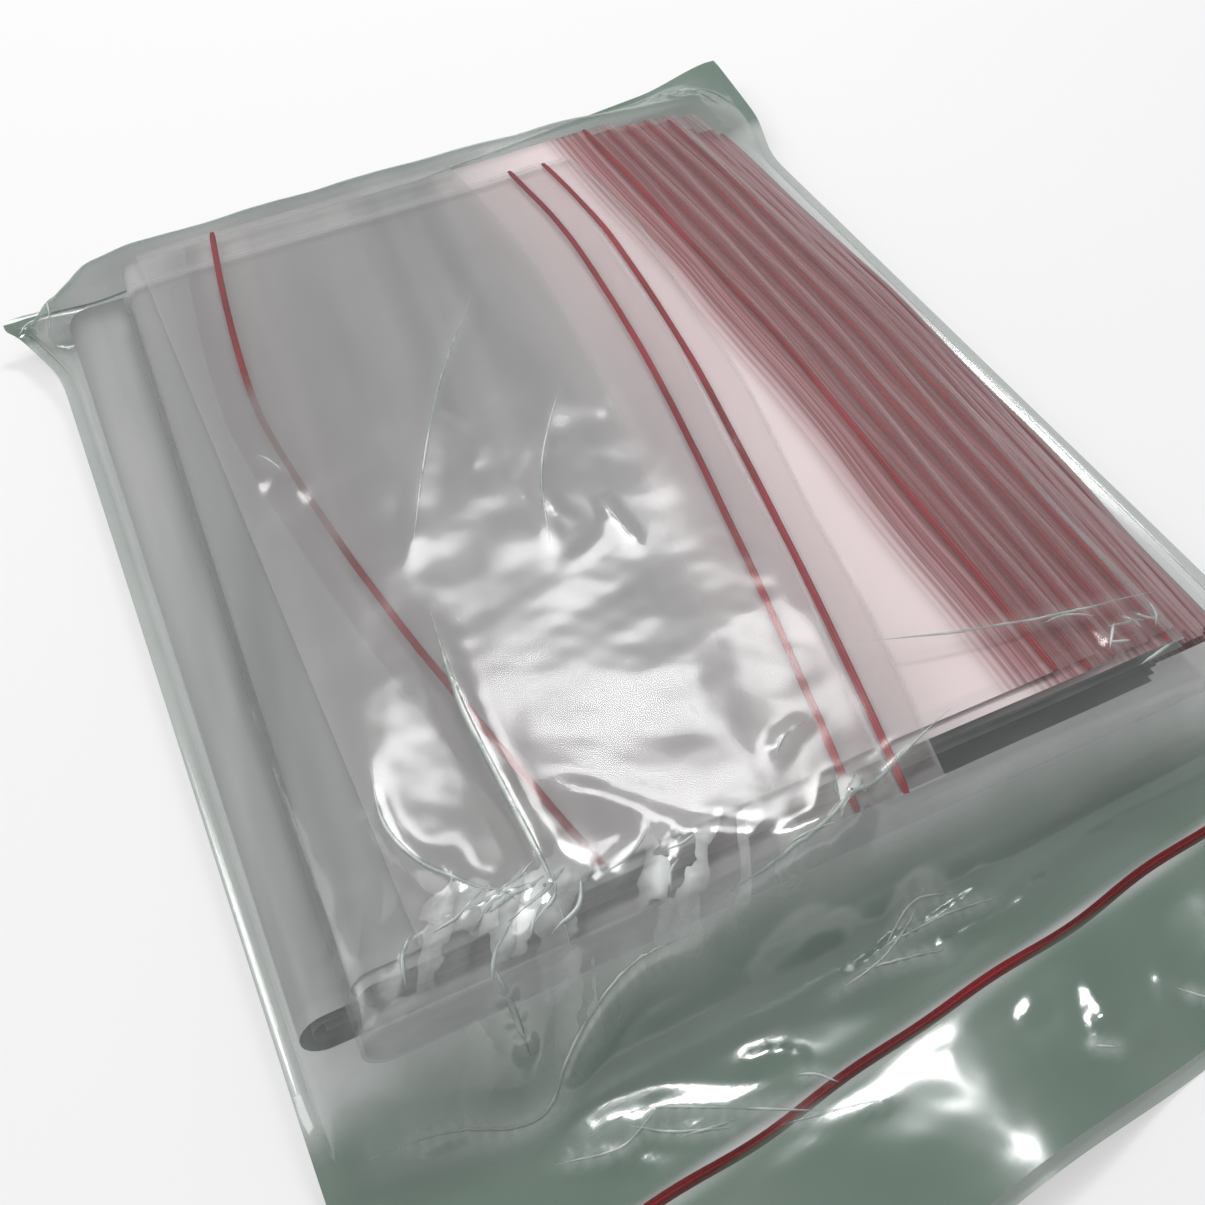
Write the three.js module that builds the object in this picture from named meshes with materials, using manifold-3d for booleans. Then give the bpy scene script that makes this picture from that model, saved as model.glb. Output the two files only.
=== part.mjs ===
// A pack of clear zipper bags: two folded bundles of bags with red zips, and one loose bag on top,
// held in a larger clear zipper bag whose empty mouth end lies flat in front of the pack.
// Millimetres, +Z up. X runs across the pack, Y from the mouth of the outer bag to its bottom weld.
// The origin is on the underside, close to the middle of the outer bag.

import * as THREE from 'three';
import { mergeVertices } from 'three/addons/utils/BufferGeometryUtils.js';
import Module from 'manifold-3d';

const wasm = await Module();
wasm.setup();

// Driving dimensions of one bag in the bundles. Its two panels lie together as one sheet.
const bagWidth = 160;
const bagSheet = 0.25;
const bagLip = 6;
const bagZipWidth = 1.4;
const bagZipHeight = 0.22;
const bagGap = 0.05;

// The bundles: nested bags, folded once at the left, with their zips fanned out at the right
const bagsInBundle = 7;
const bundleGap = 0.3;
const bundleMiddleY = 23;
const bundleShear = 0.045;
const unevenEnds = 0.8;
const upperFoldX = -56;
const upperFoldTurn = 0.035;
const upperZipReach = 113.5;
const upperZipStep = 4.5;
const upperBottomReach = 114;
const lowerFoldX = -64.5;
const lowerFoldTurn = 0.008;
const lowerShiftY = 3;
const lowerZipReach = 130;
const lowerZipStep = 1.5;
const lowerBottomReach = 122;
const zipBow = 2;
const zipBowY = 30;
const bowPower = 1.5;

// The two outermost bags of the upper bundle have slipped back and towards the mouth of the outer bag,
// and their zips are bowed more
const firstSlip = 10.5;
const secondSlip = 8;
const slipToMouth = 7.5;
const slippedZipBow = 8.4;
const slippedZipBowY = 70;

// The loose bag on top of the upper bundle
const looseBagFromFold = 3.5;
const looseBagToFirstZip = 9;
const looseZipFromFold = 12;
const looseZipBow = 10;
const looseZipBowY = 45;

// The outer bag
const film = 0.25;
const filmClearance = 0.6;
const weldWidth = 2;
const weldStep = 0.4;
const mouthLip = 22;
const lowerLipExtra = 1.5;
const bagSkew = 0.135;
const shortTail = 10;
const wallFootShare = 0.4;
const shortBottom = 2;
const bottomWeldZ = 4;
const earReach = 7;
const mouthRipple = 3;
const rippleLength = 48;

// The zip of the outer bag: a rib on the lower panel, pressed into a track on the upper one
const ribWidth = 0.9;
const ribHeight = 0.4;
const zipClearance = 0.1;
const trackWall = 0.35;
const zipEndInset = 10;

// How finely curved pieces are faceted
const foldFacets = 6;
const legFacets = 3;
const lengthFacets = 7;
const tangentStep = Math.PI / 12;
const longestFacet = 12;

// Values that follow from the driving dimensions
const bagPitch = bagSheet + bagZipHeight + 2 * bagGap;
const bundleHalfHeight = bagsInBundle * bagPitch - bagPitch / 2 + bagSheet / 2;
const lowerMiddleZ = film + filmClearance + bundleHalfHeight;
const upperMiddleZ = lowerMiddleZ + 2 * bundleHalfHeight + bagGap + bagZipHeight + bundleGap;
const looseBagLeftX = upperFoldX + looseBagFromFold;
const looseBagZ = upperMiddleZ + bundleHalfHeight + bundleGap + bagSheet / 2;
const bundleNearY = bundleMiddleY - bagWidth / 2 - Math.max(unevenEnds, slipToMouth) - filmClearance;
const bundleFarY = bundleMiddleY + bagWidth / 2 + lowerShiftY + unevenEnds + filmClearance;
const trackWidth = ribWidth + 2 * zipClearance + 2 * trackWall;
const trackHeight = ribHeight + zipClearance + trackWall;
const mouthGap = trackHeight + 2 * bagGap;

const filmFinish = new THREE.MeshStandardMaterial({
  color: 0xa9bfb2, roughness: 0.15, metalness: 0, transparent: true, opacity: 0.35,
});
const sheetFinish = new THREE.MeshStandardMaterial({
  color: 0xc9c4cc, roughness: 0.3, metalness: 0, transparent: true, opacity: 0.6,
});
const zipFinish = new THREE.MeshStandardMaterial({ color: 0xa3162e, roughness: 0.35, metalness: 0 });

const lerp = THREE.MathUtils.lerp;

// Moves every vertex of a closed geometry by a function of its place, and merges the shared vertices.
function bend(geometry, place) {
  const bare = geometry.clone();
  bare.deleteAttribute('normal');
  bare.deleteAttribute('uv');
  const bent = mergeVertices(bare);
  const position = bent.getAttribute('position');
  const vertex = new THREE.Vector3();
  for (let i = 0; i < position.count; i++) {
    vertex.fromBufferAttribute(position, i);
    place(vertex);
    position.setXYZ(i, vertex.x, vertex.y, vertex.z);
  }
  bent.computeVertexNormals();
  return bent;
}

// A sheet of even thickness through a grid of points, grid[column][row].
function sheetThrough(grid, thickness) {
  const columns = grid.length - 1;
  const rows = grid[0].length - 1;
  const along = new THREE.Vector3();
  const across = new THREE.Vector3();
  return bend(new THREE.BoxGeometry(1, 1, 1, columns, rows, 1), (vertex) => {
    const column = Math.round((vertex.x + 0.5) * columns);
    const row = Math.round((vertex.y + 0.5) * rows);
    const side = vertex.z;
    across.subVectors(
      grid[Math.min(column + 1, columns)][row],
      grid[Math.max(column - 1, 0)][row],
    );
    along.subVectors(
      grid[column][Math.min(row + 1, rows)],
      grid[column][Math.max(row - 1, 0)],
    );
    vertex.crossVectors(across, along).normalize().multiplyScalar(side * thickness);
    vertex.add(grid[column][row]);
  });
}

// A strip of the given section, drawn in its own width and height, along a line in the part's frame.
function stripAlong(section, steps, place) {
  const strip = new THREE.ExtrudeGeometry(section, { depth: 1, steps, bevelEnabled: false });
  return bend(strip, place);
}

function node(name, geometry, finish) {
  const mesh = new THREE.Mesh(geometry, finish);
  mesh.name = name;
  return mesh;
}

function solidOf(geometry) {
  return new wasm.Manifold(new wasm.Mesh({
    numProp: 3,
    vertProperties: geometry.getAttribute('position').array,
    triVerts: new Uint32Array(geometry.index.array),
  }));
}

function geometryOf(solid) {
  const { vertProperties, triVerts } = solid.getMesh();
  const geometry = new THREE.BufferGeometry();
  geometry.setAttribute('position', new THREE.BufferAttribute(vertProperties, 3));
  geometry.setIndex(new THREE.BufferAttribute(triVerts, 1));
  geometry.computeVertexNormals();
  return geometry;
}

// How far a zip is pulled to the left at y, by its bow about the given middle
function bowAt(depth, middle, y) {
  return -depth * (Math.abs(y - middle) / (bagWidth / 2)) ** bowPower;
}

// The place along Y of a point in a bag, which is sheared and lies a little off the others
function bagY(x, share, shiftY) {
  return bundleMiddleY + bundleShear * x + shiftY + (share - 0.5) * bagWidth;
}

// One bag of a bundle: where its fold is, and where its zip and its bottom edge lie
function bagOf(bundle, order) {
  const slip = bundle.slips[order] ?? 0;
  const slipped = slip > 0;
  const stepsOut = bagsInBundle - 1 - order;
  return {
    name: `${bundle.name}_bag_${order + 1}`,
    foldX: bundle.foldX,
    foldTurn: bundle.foldTurn,
    middleZ: bundle.middleZ,
    radius: (stepsOut + 0.5) * bagPitch,
    zipX: bundle.foldX + bundle.zipReach - stepsOut * bundle.zipStep - slip,
    bow: slipped ? slippedZipBow : zipBow,
    bowY: slipped ? slippedZipBowY : zipBowY,
    bottomX: bundle.foldX + bundle.bottomReach,
    shiftY: slipped ? -slipToMouth : bundle.shiftY + unevenEnds * ((order % 3) - 1),
  };
}

function zipXAt(bag, y) {
  return bag.zipX + bowAt(bag.bow, bag.bowY, y);
}

// The section of a folded bag at a share of its width, from its lip over the left fold to its bottom
// edge. A reach past the sheet's middle gives the section of its outer or inner face.
function foldedSection(bag, share, reach = 0) {
  const lipX = zipXAt(bag, bagY(bag.zipX, share, bag.shiftY)) + bagLip;
  const foldX = bag.foldX + bag.foldTurn * (bagY(bag.foldX, share, bag.shiftY) - bundleMiddleY);
  const radius = bag.radius + reach;
  const points = [];
  for (let i = 0; i < legFacets; i++) {
    points.push(new THREE.Vector2(lerp(lipX, foldX, i / legFacets), bag.middleZ + radius));
  }
  for (let i = 0; i <= foldFacets; i++) {
    const turn = Math.PI * (0.5 + i / foldFacets);
    points.push(new THREE.Vector2(foldX, bag.middleZ).addScaledVector(
      new THREE.Vector2(Math.cos(turn), Math.sin(turn)), radius));
  }
  points.push(new THREE.Vector2(bag.bottomX, bag.middleZ - radius));
  return points;
}

function foldedBag(bag) {
  const grid = [];
  for (let row = 0; row <= lengthFacets; row++) {
    const share = row / lengthFacets;
    foldedSection(bag, share).forEach((point, column) => {
      grid[column] ??= [];
      grid[column].push(new THREE.Vector3(point.x, bagY(point.x, share, bag.shiftY), point.y));
    });
  }
  return node(bag.name, sheetThrough(grid, bagSheet), sheetFinish);
}

// The red zip of a bag: a low ridge with sloping sides, on the outer face of the sheet
function bagZip(name, zipX, sheetZ, shiftY) {
  const crest = bagZipWidth / 2;
  const section = new THREE.Shape();
  section.moveTo(-bagZipWidth / 2, 0);
  section.lineTo(bagZipWidth / 2, 0);
  section.lineTo(crest / 2, bagZipHeight);
  section.lineTo(-crest / 2, bagZipHeight);
  section.closePath();
  const footZ = sheetZ + bagSheet / 2 + bagGap;
  const strip = stripAlong(section, lengthFacets, (vertex) => {
    const middleX = zipX(bagY(zipX(bundleMiddleY), vertex.z, shiftY));
    const y = bagY(middleX, vertex.z, shiftY);
    vertex.set(middleX - vertex.x, y, footZ + vertex.y);
  });
  return node(`${name}_zip`, strip, zipFinish);
}

function looseZipXAt(y) {
  return upperFoldX + looseZipFromFold - bowAt(looseZipBow, looseZipBowY, y);
}

// The loose bag lies flat on the upper bundle and ends short of the first zip.
function looseBag(firstBag) {
  const grid = [];
  for (let row = 0; row <= lengthFacets; row++) {
    const share = row / lengthFacets;
    const rightX = zipXAt(firstBag, bagY(firstBag.zipX, share, 0)) - looseBagToFirstZip;
    for (let column = 0; column <= legFacets; column++) {
      const x = lerp(looseBagLeftX, rightX, column / legFacets);
      grid[column] ??= [];
      grid[column].push(new THREE.Vector3(x, bagY(x, share, 0), looseBagZ));
    }
  }
  return node('loose_bag', sheetThrough(grid, bagSheet), sheetFinish);
}

// Every corner of the bundles' section that the outer bag has to pass around, in X and Z
function bundleCorners(bags) {
  const corners = [];
  for (const bag of bags) {
    for (let row = 0; row <= lengthFacets; row++) {
      corners.push(...foldedSection(bag, row / lengthFacets, bagSheet / 2));
    }
    const zipTop = bag.middleZ + bag.radius + bagSheet / 2 + bagGap + bagZipHeight;
    corners.push(new THREE.Vector2(bag.zipX + bagZipWidth / 2, zipTop));
  }
  const looseTop = looseBagZ + bagSheet / 2 + bagGap + bagZipHeight;
  const looseRightX = bags[0].zipX - looseBagToFirstZip;
  corners.push(new THREE.Vector2(looseBagLeftX, looseTop));
  corners.push(new THREE.Vector2(looseRightX, looseTop));
  return corners;
}

// The taut film around those corners: the polygon of its tangents, one for each step of angle,
// from the tangent at the given angle to the one half a turn on. It starts and ends at the side welds.
function tautHalf(corners, startAngle, turnSign) {
  const tangentAt = (angle) => {
    const normal = new THREE.Vector2(Math.cos(angle), Math.sin(angle));
    const reach = Math.max(...corners.map((corner) => corner.dot(normal)));
    return { normal, reach: reach + filmClearance + film / 2 };
  };
  const meet = (a, b) => {
    const cross = a.normal.cross(b.normal);
    return new THREE.Vector2(
      (a.reach * b.normal.y - b.reach * a.normal.y) / cross,
      (b.reach * a.normal.x - a.reach * b.normal.x) / cross,
    );
  };
  const steps = Math.round(Math.PI / tangentStep);
  const points = [];
  for (let i = 0; i < steps; i++) {
    const angle = startAngle + turnSign * i * tangentStep;
    points.push(meet(tangentAt(angle), tangentAt(angle + turnSign * tangentStep)));
  }
  return points;
}

// Adds points along the long straight stretches, and drops those that all but coincide.
function evenOut(points) {
  const even = [points[0]];
  for (const point of points.slice(1)) {
    const last = even.at(-1);
    const pieces = Math.ceil(last.distanceTo(point) / longestFacet);
    if (last.distanceTo(point) < film) {
      continue;
    }
    for (let i = 1; i <= pieces; i++) {
      even.push(new THREE.Vector2().lerpVectors(last, point, i / pieces));
    }
  }
  return even;
}

// The outer bag's section: an upper and a lower chain of points, both from the left weld to the right
function outerSection(bags) {
  const corners = bundleCorners(bags);
  const upper = tautHalf(corners, Math.PI, -1);
  const lower = tautHalf(corners, Math.PI, 1);
  const leftWeld = new THREE.Vector2().addVectors(upper[0], lower[0]).divideScalar(2);
  const rightWeld = new THREE.Vector2().addVectors(upper.at(-1), lower.at(-1)).divideScalar(2);
  return {
    leftWeld,
    rightWeld,
    upper: evenOut([leftWeld, ...upper, rightWeld]),
    lower: evenOut([leftWeld, ...lower, rightWeld]),
  };
}

// Lines across the bag, each a place along Y for a place along X
const wallTopAt = (x) => bundleNearY + bundleShear * x;
const bottomTopAt = (x) => bundleFarY + bundleShear * x;
const zipLineAt = (x, section) =>
  wallTopAt(x) - shortTail - bagSkew * (section.rightWeld.x - x);
const bottomWeldAt = (x, section) =>
  bottomTopAt(x) + shortBottom + bagSkew * (x - section.leftWeld.x + earReach);
const wallFootAt = (x, section) =>
  lerp(wallTopAt(x), zipLineAt(x, section) + trackWidth, wallFootShare);

// The height that ripples lift the lip in front of the zip off the ground by, growing to the mouth
function rippleAt(x, y, section) {
  const flatEdge = zipLineAt(x, section) - trackWidth;
  const share = THREE.MathUtils.clamp((flatEdge - y) / (mouthLip - trackWidth), 0, 1);
  const wave = 0.5 - 0.5 * Math.cos((2 * Math.PI * (x - section.leftWeld.x)) / rippleLength);
  return mouthRipple * share * wave;
}

// One panel of the outer bag through a chain of its section. The panel runs from the mouth over the
// pack to the bottom weld, with a flat weld along both sides and the bottom.
function panel(section, chain, { flatZ, weldShift, weld, lip }) {
  const lengths = [0];
  chain.slice(1).forEach((point, i) => lengths.push(lengths[i] + point.distanceTo(chain[i])));
  const { leftWeld, rightWeld } = section;
  const tailZ = (film + mouthGap) / 2 + film / 2;

  const isSide = (column) => column === 0 || column === chain.length - 1;
  const packPoint = (column, y) =>
    new THREE.Vector3(chain[column].x, y, chain[column].y);
  const flatX = (column, left, right) => lerp(left, right, lengths[column] / lengths.at(-1));
  const tailPoint = (column, lineAt) => {
    const x = flatX(column, leftWeld.x, rightWeld.x);
    const y = lineAt(x);
    const z = isSide(column) ? tailZ : flatZ;
    return new THREE.Vector3(x, y, z + rippleAt(x, y, section));
  };
  const bottomPoint = (column, past) => {
    const x = flatX(column, leftWeld.x - earReach, rightWeld.x + earReach);
    const z = isSide(column) ? bottomWeldZ : bottomWeldZ + weldShift;
    return new THREE.Vector3(x, bottomWeldAt(x, section) + past, z);
  };

  const rows = [-lip, -lip / 2, -trackWidth, trackWidth].map((fromZip) =>
    (column) => tailPoint(column, (x) => zipLineAt(x, section) + fromZip));
  rows.push((column) => tailPoint(column, (x) => wallFootAt(x, section)));
  const packRows = Math.ceil((bundleFarY - bundleNearY) / (2 * longestFacet));
  for (let i = 0; i <= packRows; i++) {
    rows.push((column) => {
      const { x } = chain[column];
      return packPoint(column, lerp(wallTopAt(x), bottomTopAt(x), i / packRows));
    });
  }
  rows.push((column) => bottomPoint(column, 0));
  rows.push((column) => bottomPoint(column, weld));

  const grid = chain.map((_, column) => rows.map((row) => row(column)));
  const weldEdge = (line, direction) => line.map((point) =>
    new THREE.Vector3(point.x + direction * weld, point.y, point.z + weldShift));
  const lift = (line) => line.map((point) => point.clone().setZ(point.z + weldShift));
  return [
    weldEdge(grid[0], -1),
    lift(grid[0]),
    ...grid.slice(1, -1),
    lift(grid.at(-1)),
    weldEdge(grid.at(-1), 1),
  ];
}

// The film of the outer bag: two panels welded along both sides and the bottom, open at the mouth
function outerBag(section) {
  const upper = panel(section, section.upper, {
    flatZ: film + mouthGap + film / 2, weldShift: film / 4, weld: weldWidth, lip: mouthLip,
  });
  const lower = panel(section, section.lower, {
    flatZ: film / 2, weldShift: -film / 4, weld: weldWidth - weldStep, lip: mouthLip + lowerLipExtra,
  });
  const both = solidOf(sheetThrough(upper, film)).add(solidOf(sheetThrough(lower, film)));
  return node('outer_bag', geometryOf(both), filmFinish);
}

// A strip of the outer bag's zip across the mouth end, with its foot at the given height
function outerZipStrip(name, outline, footZ, section) {
  const shape = new THREE.Shape(outline.map(([a, b]) => new THREE.Vector2(a, b)));
  const left = section.leftWeld.x + zipEndInset;
  const right = section.rightWeld.x - zipEndInset;
  const steps = Math.ceil((right - left) / longestFacet) * 2;
  const strip = stripAlong(shape, steps, (vertex) => {
    const x = lerp(left, right, vertex.z);
    const y = zipLineAt(x, section);
    vertex.set(x, y + vertex.x, footZ + vertex.y);
  });
  return node(name, strip, zipFinish);
}

function outerZip(section) {
  const footZ = film + bagGap;
  const half = trackWidth / 2;
  const slot = half - trackWall;
  const slotHeight = trackHeight - trackWall;
  const track = [
    [-half, 0], [-slot, 0], [-slot, slotHeight], [slot, slotHeight],
    [slot, 0], [half, 0], [half, trackHeight], [-half, trackHeight],
  ];
  const rib = [
    [-ribWidth / 2, 0], [ribWidth / 2, 0], [ribWidth / 2, ribHeight], [-ribWidth / 2, ribHeight],
  ];
  return [
    outerZipStrip('outer_zip_track', track, footZ, section),
    outerZipStrip('outer_zip_rib', rib, footZ, section),
  ];
}

const bundles = [
  {
    name: 'upper', foldX: upperFoldX, foldTurn: upperFoldTurn, middleZ: upperMiddleZ,
    zipReach: upperZipReach, zipStep: upperZipStep, bottomReach: upperBottomReach,
    shiftY: 0, slips: [firstSlip, secondSlip],
  },
  {
    name: 'lower', foldX: lowerFoldX, foldTurn: lowerFoldTurn, middleZ: lowerMiddleZ,
    zipReach: lowerZipReach, zipStep: lowerZipStep, bottomReach: lowerBottomReach,
    shiftY: lowerShiftY, slips: [],
  },
];

const pack = new THREE.Group();
const bags = bundles.flatMap((bundle) =>
  Array.from({ length: bagsInBundle }, (_, order) => bagOf(bundle, order)));
for (const bag of bags) {
  const zipX = (y) => zipXAt(bag, y);
  pack.add(foldedBag(bag));
  pack.add(bagZip(bag.name, zipX, bag.middleZ + bag.radius, bag.shiftY));
}
pack.add(looseBag(bags[0]));
pack.add(bagZip('loose_bag', looseZipXAt, looseBagZ, 0));

const section = outerSection(bags);
pack.add(outerBag(section));
pack.add(...outerZip(section));

export default pack;
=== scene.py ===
"""The looks of a pack of clear zipper bags: folded bundles with red zips in a larger creased clear bag."""

import logging
from dataclasses import dataclass
from enum import Enum
from functools import cached_property
from typing import Any, Sequence, Union

import bpy
import numpy as np
from mathutils import Matrix


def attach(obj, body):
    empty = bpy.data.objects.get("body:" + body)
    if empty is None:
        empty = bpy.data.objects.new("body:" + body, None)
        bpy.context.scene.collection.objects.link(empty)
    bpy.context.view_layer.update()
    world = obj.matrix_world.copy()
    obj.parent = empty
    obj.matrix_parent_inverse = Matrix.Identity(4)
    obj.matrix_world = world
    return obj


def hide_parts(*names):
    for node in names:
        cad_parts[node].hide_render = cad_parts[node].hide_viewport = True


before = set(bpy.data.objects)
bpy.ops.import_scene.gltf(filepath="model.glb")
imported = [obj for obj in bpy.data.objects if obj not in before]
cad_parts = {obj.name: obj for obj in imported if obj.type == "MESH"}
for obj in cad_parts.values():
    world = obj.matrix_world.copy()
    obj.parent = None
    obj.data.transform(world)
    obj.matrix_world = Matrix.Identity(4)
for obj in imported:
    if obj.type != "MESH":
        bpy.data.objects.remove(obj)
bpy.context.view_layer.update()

MM = 0.001
BODY = "root"
UV_UNIT = 100.0
ZIP_SEEN = 0.78
Array = np.ndarray
Colour = tuple[float, float, float]
log = logging.getLogger("pack")


def lerp(start: Any, end: Any, share: Any) -> Any:
    """The value that lies at a share of the way from start to end."""
    return start + (end - start) * share


def smooth_step(value: Any, low: float, high: float) -> Any:
    """0 at low, 1 at high, and a smooth rise between them."""
    share = np.clip((value - low) / (high - low), 0.0, 1.0)
    return share * share * (3.0 - 2.0 * share)


@dataclass(frozen=True)
class Waves:
    """A gentle relief: the sum of plane waves with seeded directions, lengths and phases.

    Attributes:
        seed: seed of the random draws.
        count: how many waves are added.
        shortest: shortest wave length, in mm.
        longest: longest wave length, in mm.
        height: about how far the sum reaches, in mm.
    """

    seed: int
    count: int
    shortest: float
    longest: float
    height: float

    def at(self, x: Array, y: Array) -> Array:
        """The sum of height * sin(2 pi (x cos a + y sin a) / length + phase) over the waves.

        Args:
            x: places along X, in mm.
            y: places along Y, in mm.

        Returns:
            The relief at those places, in mm.
        """
        draw = np.random.default_rng(self.seed)
        angle = draw.uniform(0.0, np.pi, self.count)
        length = draw.uniform(self.shortest, self.longest, self.count)
        phase = draw.uniform(0.0, 2.0 * np.pi, self.count)
        along = x[..., None] * np.cos(angle) + y[..., None] * np.sin(angle)
        waves = np.sin(2.0 * np.pi * along / length + phase)
        return self.height * waves.sum(axis=-1) / np.sqrt(2.0 * self.count)


class Shade:
    """A shader socket that takes part in Python sums: each operator adds one Math node."""

    def __init__(self, graph: "Graph", socket: bpy.types.NodeSocket) -> None:
        """Keeps the socket and the graph that it belongs to."""
        self.graph = graph
        self.socket = socket

    def math(self, operation: str, *values: "Value") -> "Shade":
        """A Math node of this operation on the given values."""
        return self.graph.node("ShaderNodeMath", {"operation": operation}, dict(enumerate(values)))

    def __add__(self, other: "Value") -> "Shade":
        """This value plus another."""
        return self.math("ADD", self, other)

    def __sub__(self, other: "Value") -> "Shade":
        """This value less another."""
        return self.math("SUBTRACT", self, other)

    def __rsub__(self, other: "Value") -> "Shade":
        """Another value less this one."""
        return self.math("SUBTRACT", other, self)

    def __mul__(self, other: "Value") -> "Shade":
        """This value times another."""
        return self.math("MULTIPLY", self, other)

    __radd__ = __add__
    __rmul__ = __mul__

    def size(self) -> "Shade":
        """The value without its sign."""
        return self.math("ABSOLUTE", self)

    def steps(self, low: float, high: float) -> "Shade":
        """A mask that goes smoothly from 0 at low to 1 at high, whichever is the greater."""
        least, most = min(low, high), max(low, high)
        ends = {"Value": self, "From Min": least, "From Max": most}
        rising = self.graph.node("ShaderNodeMapRange", {"interpolation_type": "SMOOTHSTEP"}, ends)
        return rising if low < high else 1.0 - rising


Value = Union[Shade, float, Sequence[float]]


class Graph:
    """The node graph of one material or of the world."""

    def __init__(self, owner: Union[bpy.types.Material, bpy.types.World]) -> None:
        """Starts an empty graph for its owner."""
        owner.use_nodes = True
        self.owner = owner
        self.tree = owner.node_tree
        self.tree.nodes.clear()

    def node(self, kind: str, settings: dict[str, Any], sockets: dict[Any, Value],
             output: Union[int, str] = 0) -> Shade:
        """Adds a node, sets it up and links it.

        Args:
            kind: the node's type.
            settings: the node's own settings, which are set first.
            sockets: values or links of its input sockets, by name or place.
            output: the output socket that is wanted.

        Returns:
            The wanted output, or the first input of a node that has none.
        """
        made = self.tree.nodes.new(kind)
        for name, setting in settings.items():
            setattr(made, name, setting)
        for name, value in sockets.items():
            if isinstance(value, Shade):
                self.tree.links.new(value.socket, made.inputs[name])
            else:
                made.inputs[name].default_value = value
        return Shade(self, made.outputs[output] if made.outputs else made.inputs[0])

    def place(self, kind: str = "Object") -> Shade:
        """The Object coordinates in metres, or the UV of the mesh."""
        return self.node("ShaderNodeTexCoord", {}, {}, kind)

    def part_of(self, vector: Shade, axis: str) -> Shade:
        """One of the X, Y and Z of a vector."""
        return self.node("ShaderNodeSeparateXYZ", {}, {"Vector": vector}, axis)

    def vector(self, x: Value, y: Value, z: Value) -> Shade:
        """A vector of three values."""
        return self.node("ShaderNodeCombineXYZ", {}, {"X": x, "Y": y, "Z": z})

    def noise(self, where: Shade, scale: float, detail: float = 2.0) -> Shade:
        """Soft noise between 0 and 1, with about so many lumps to a unit of where."""
        return self.node("ShaderNodeTexNoise", {}, {"Vector": where, "Scale": scale, "Detail": detail}, 0)

    def attribute(self, name: str) -> Shade:
        """A number that the mesh carries at its vertices."""
        return self.node("ShaderNodeAttribute", {"attribute_name": name}, {}, "Fac")

    def mix(self, share: Value, first: Value, second: Value) -> Shade:
        """The colour at a share of the way from the first to the second."""
        sockets = {0: share, 6: opaque(first), 7: opaque(second)}
        return self.node("ShaderNodeMix", {"data_type": "RGBA"}, sockets, 2)

    def bump(self, height: Shade, strength: float, distance: float) -> Shade:
        """A normal that is tilted by a height."""
        return self.node("ShaderNodeBump", {}, {"Height": height, "Strength": strength, "Distance": distance})

    def principled(self, sockets: dict[str, Value]) -> Shade:
        """A Principled surface with these values."""
        return self.node("ShaderNodeBsdfPrincipled", {}, sockets)

    def end_material(self, shader: Shade) -> bpy.types.Material:
        """Links a shader to the material's output, and gives the material."""
        self.node("ShaderNodeOutputMaterial", {}, {"Surface": shader})
        return self.owner


def opaque(colour: Value) -> Value:
    """A colour of three numbers with its alpha of 1, and a link as it is."""
    return colour if isinstance(colour, Shade) else (*colour, 1.0)


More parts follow.
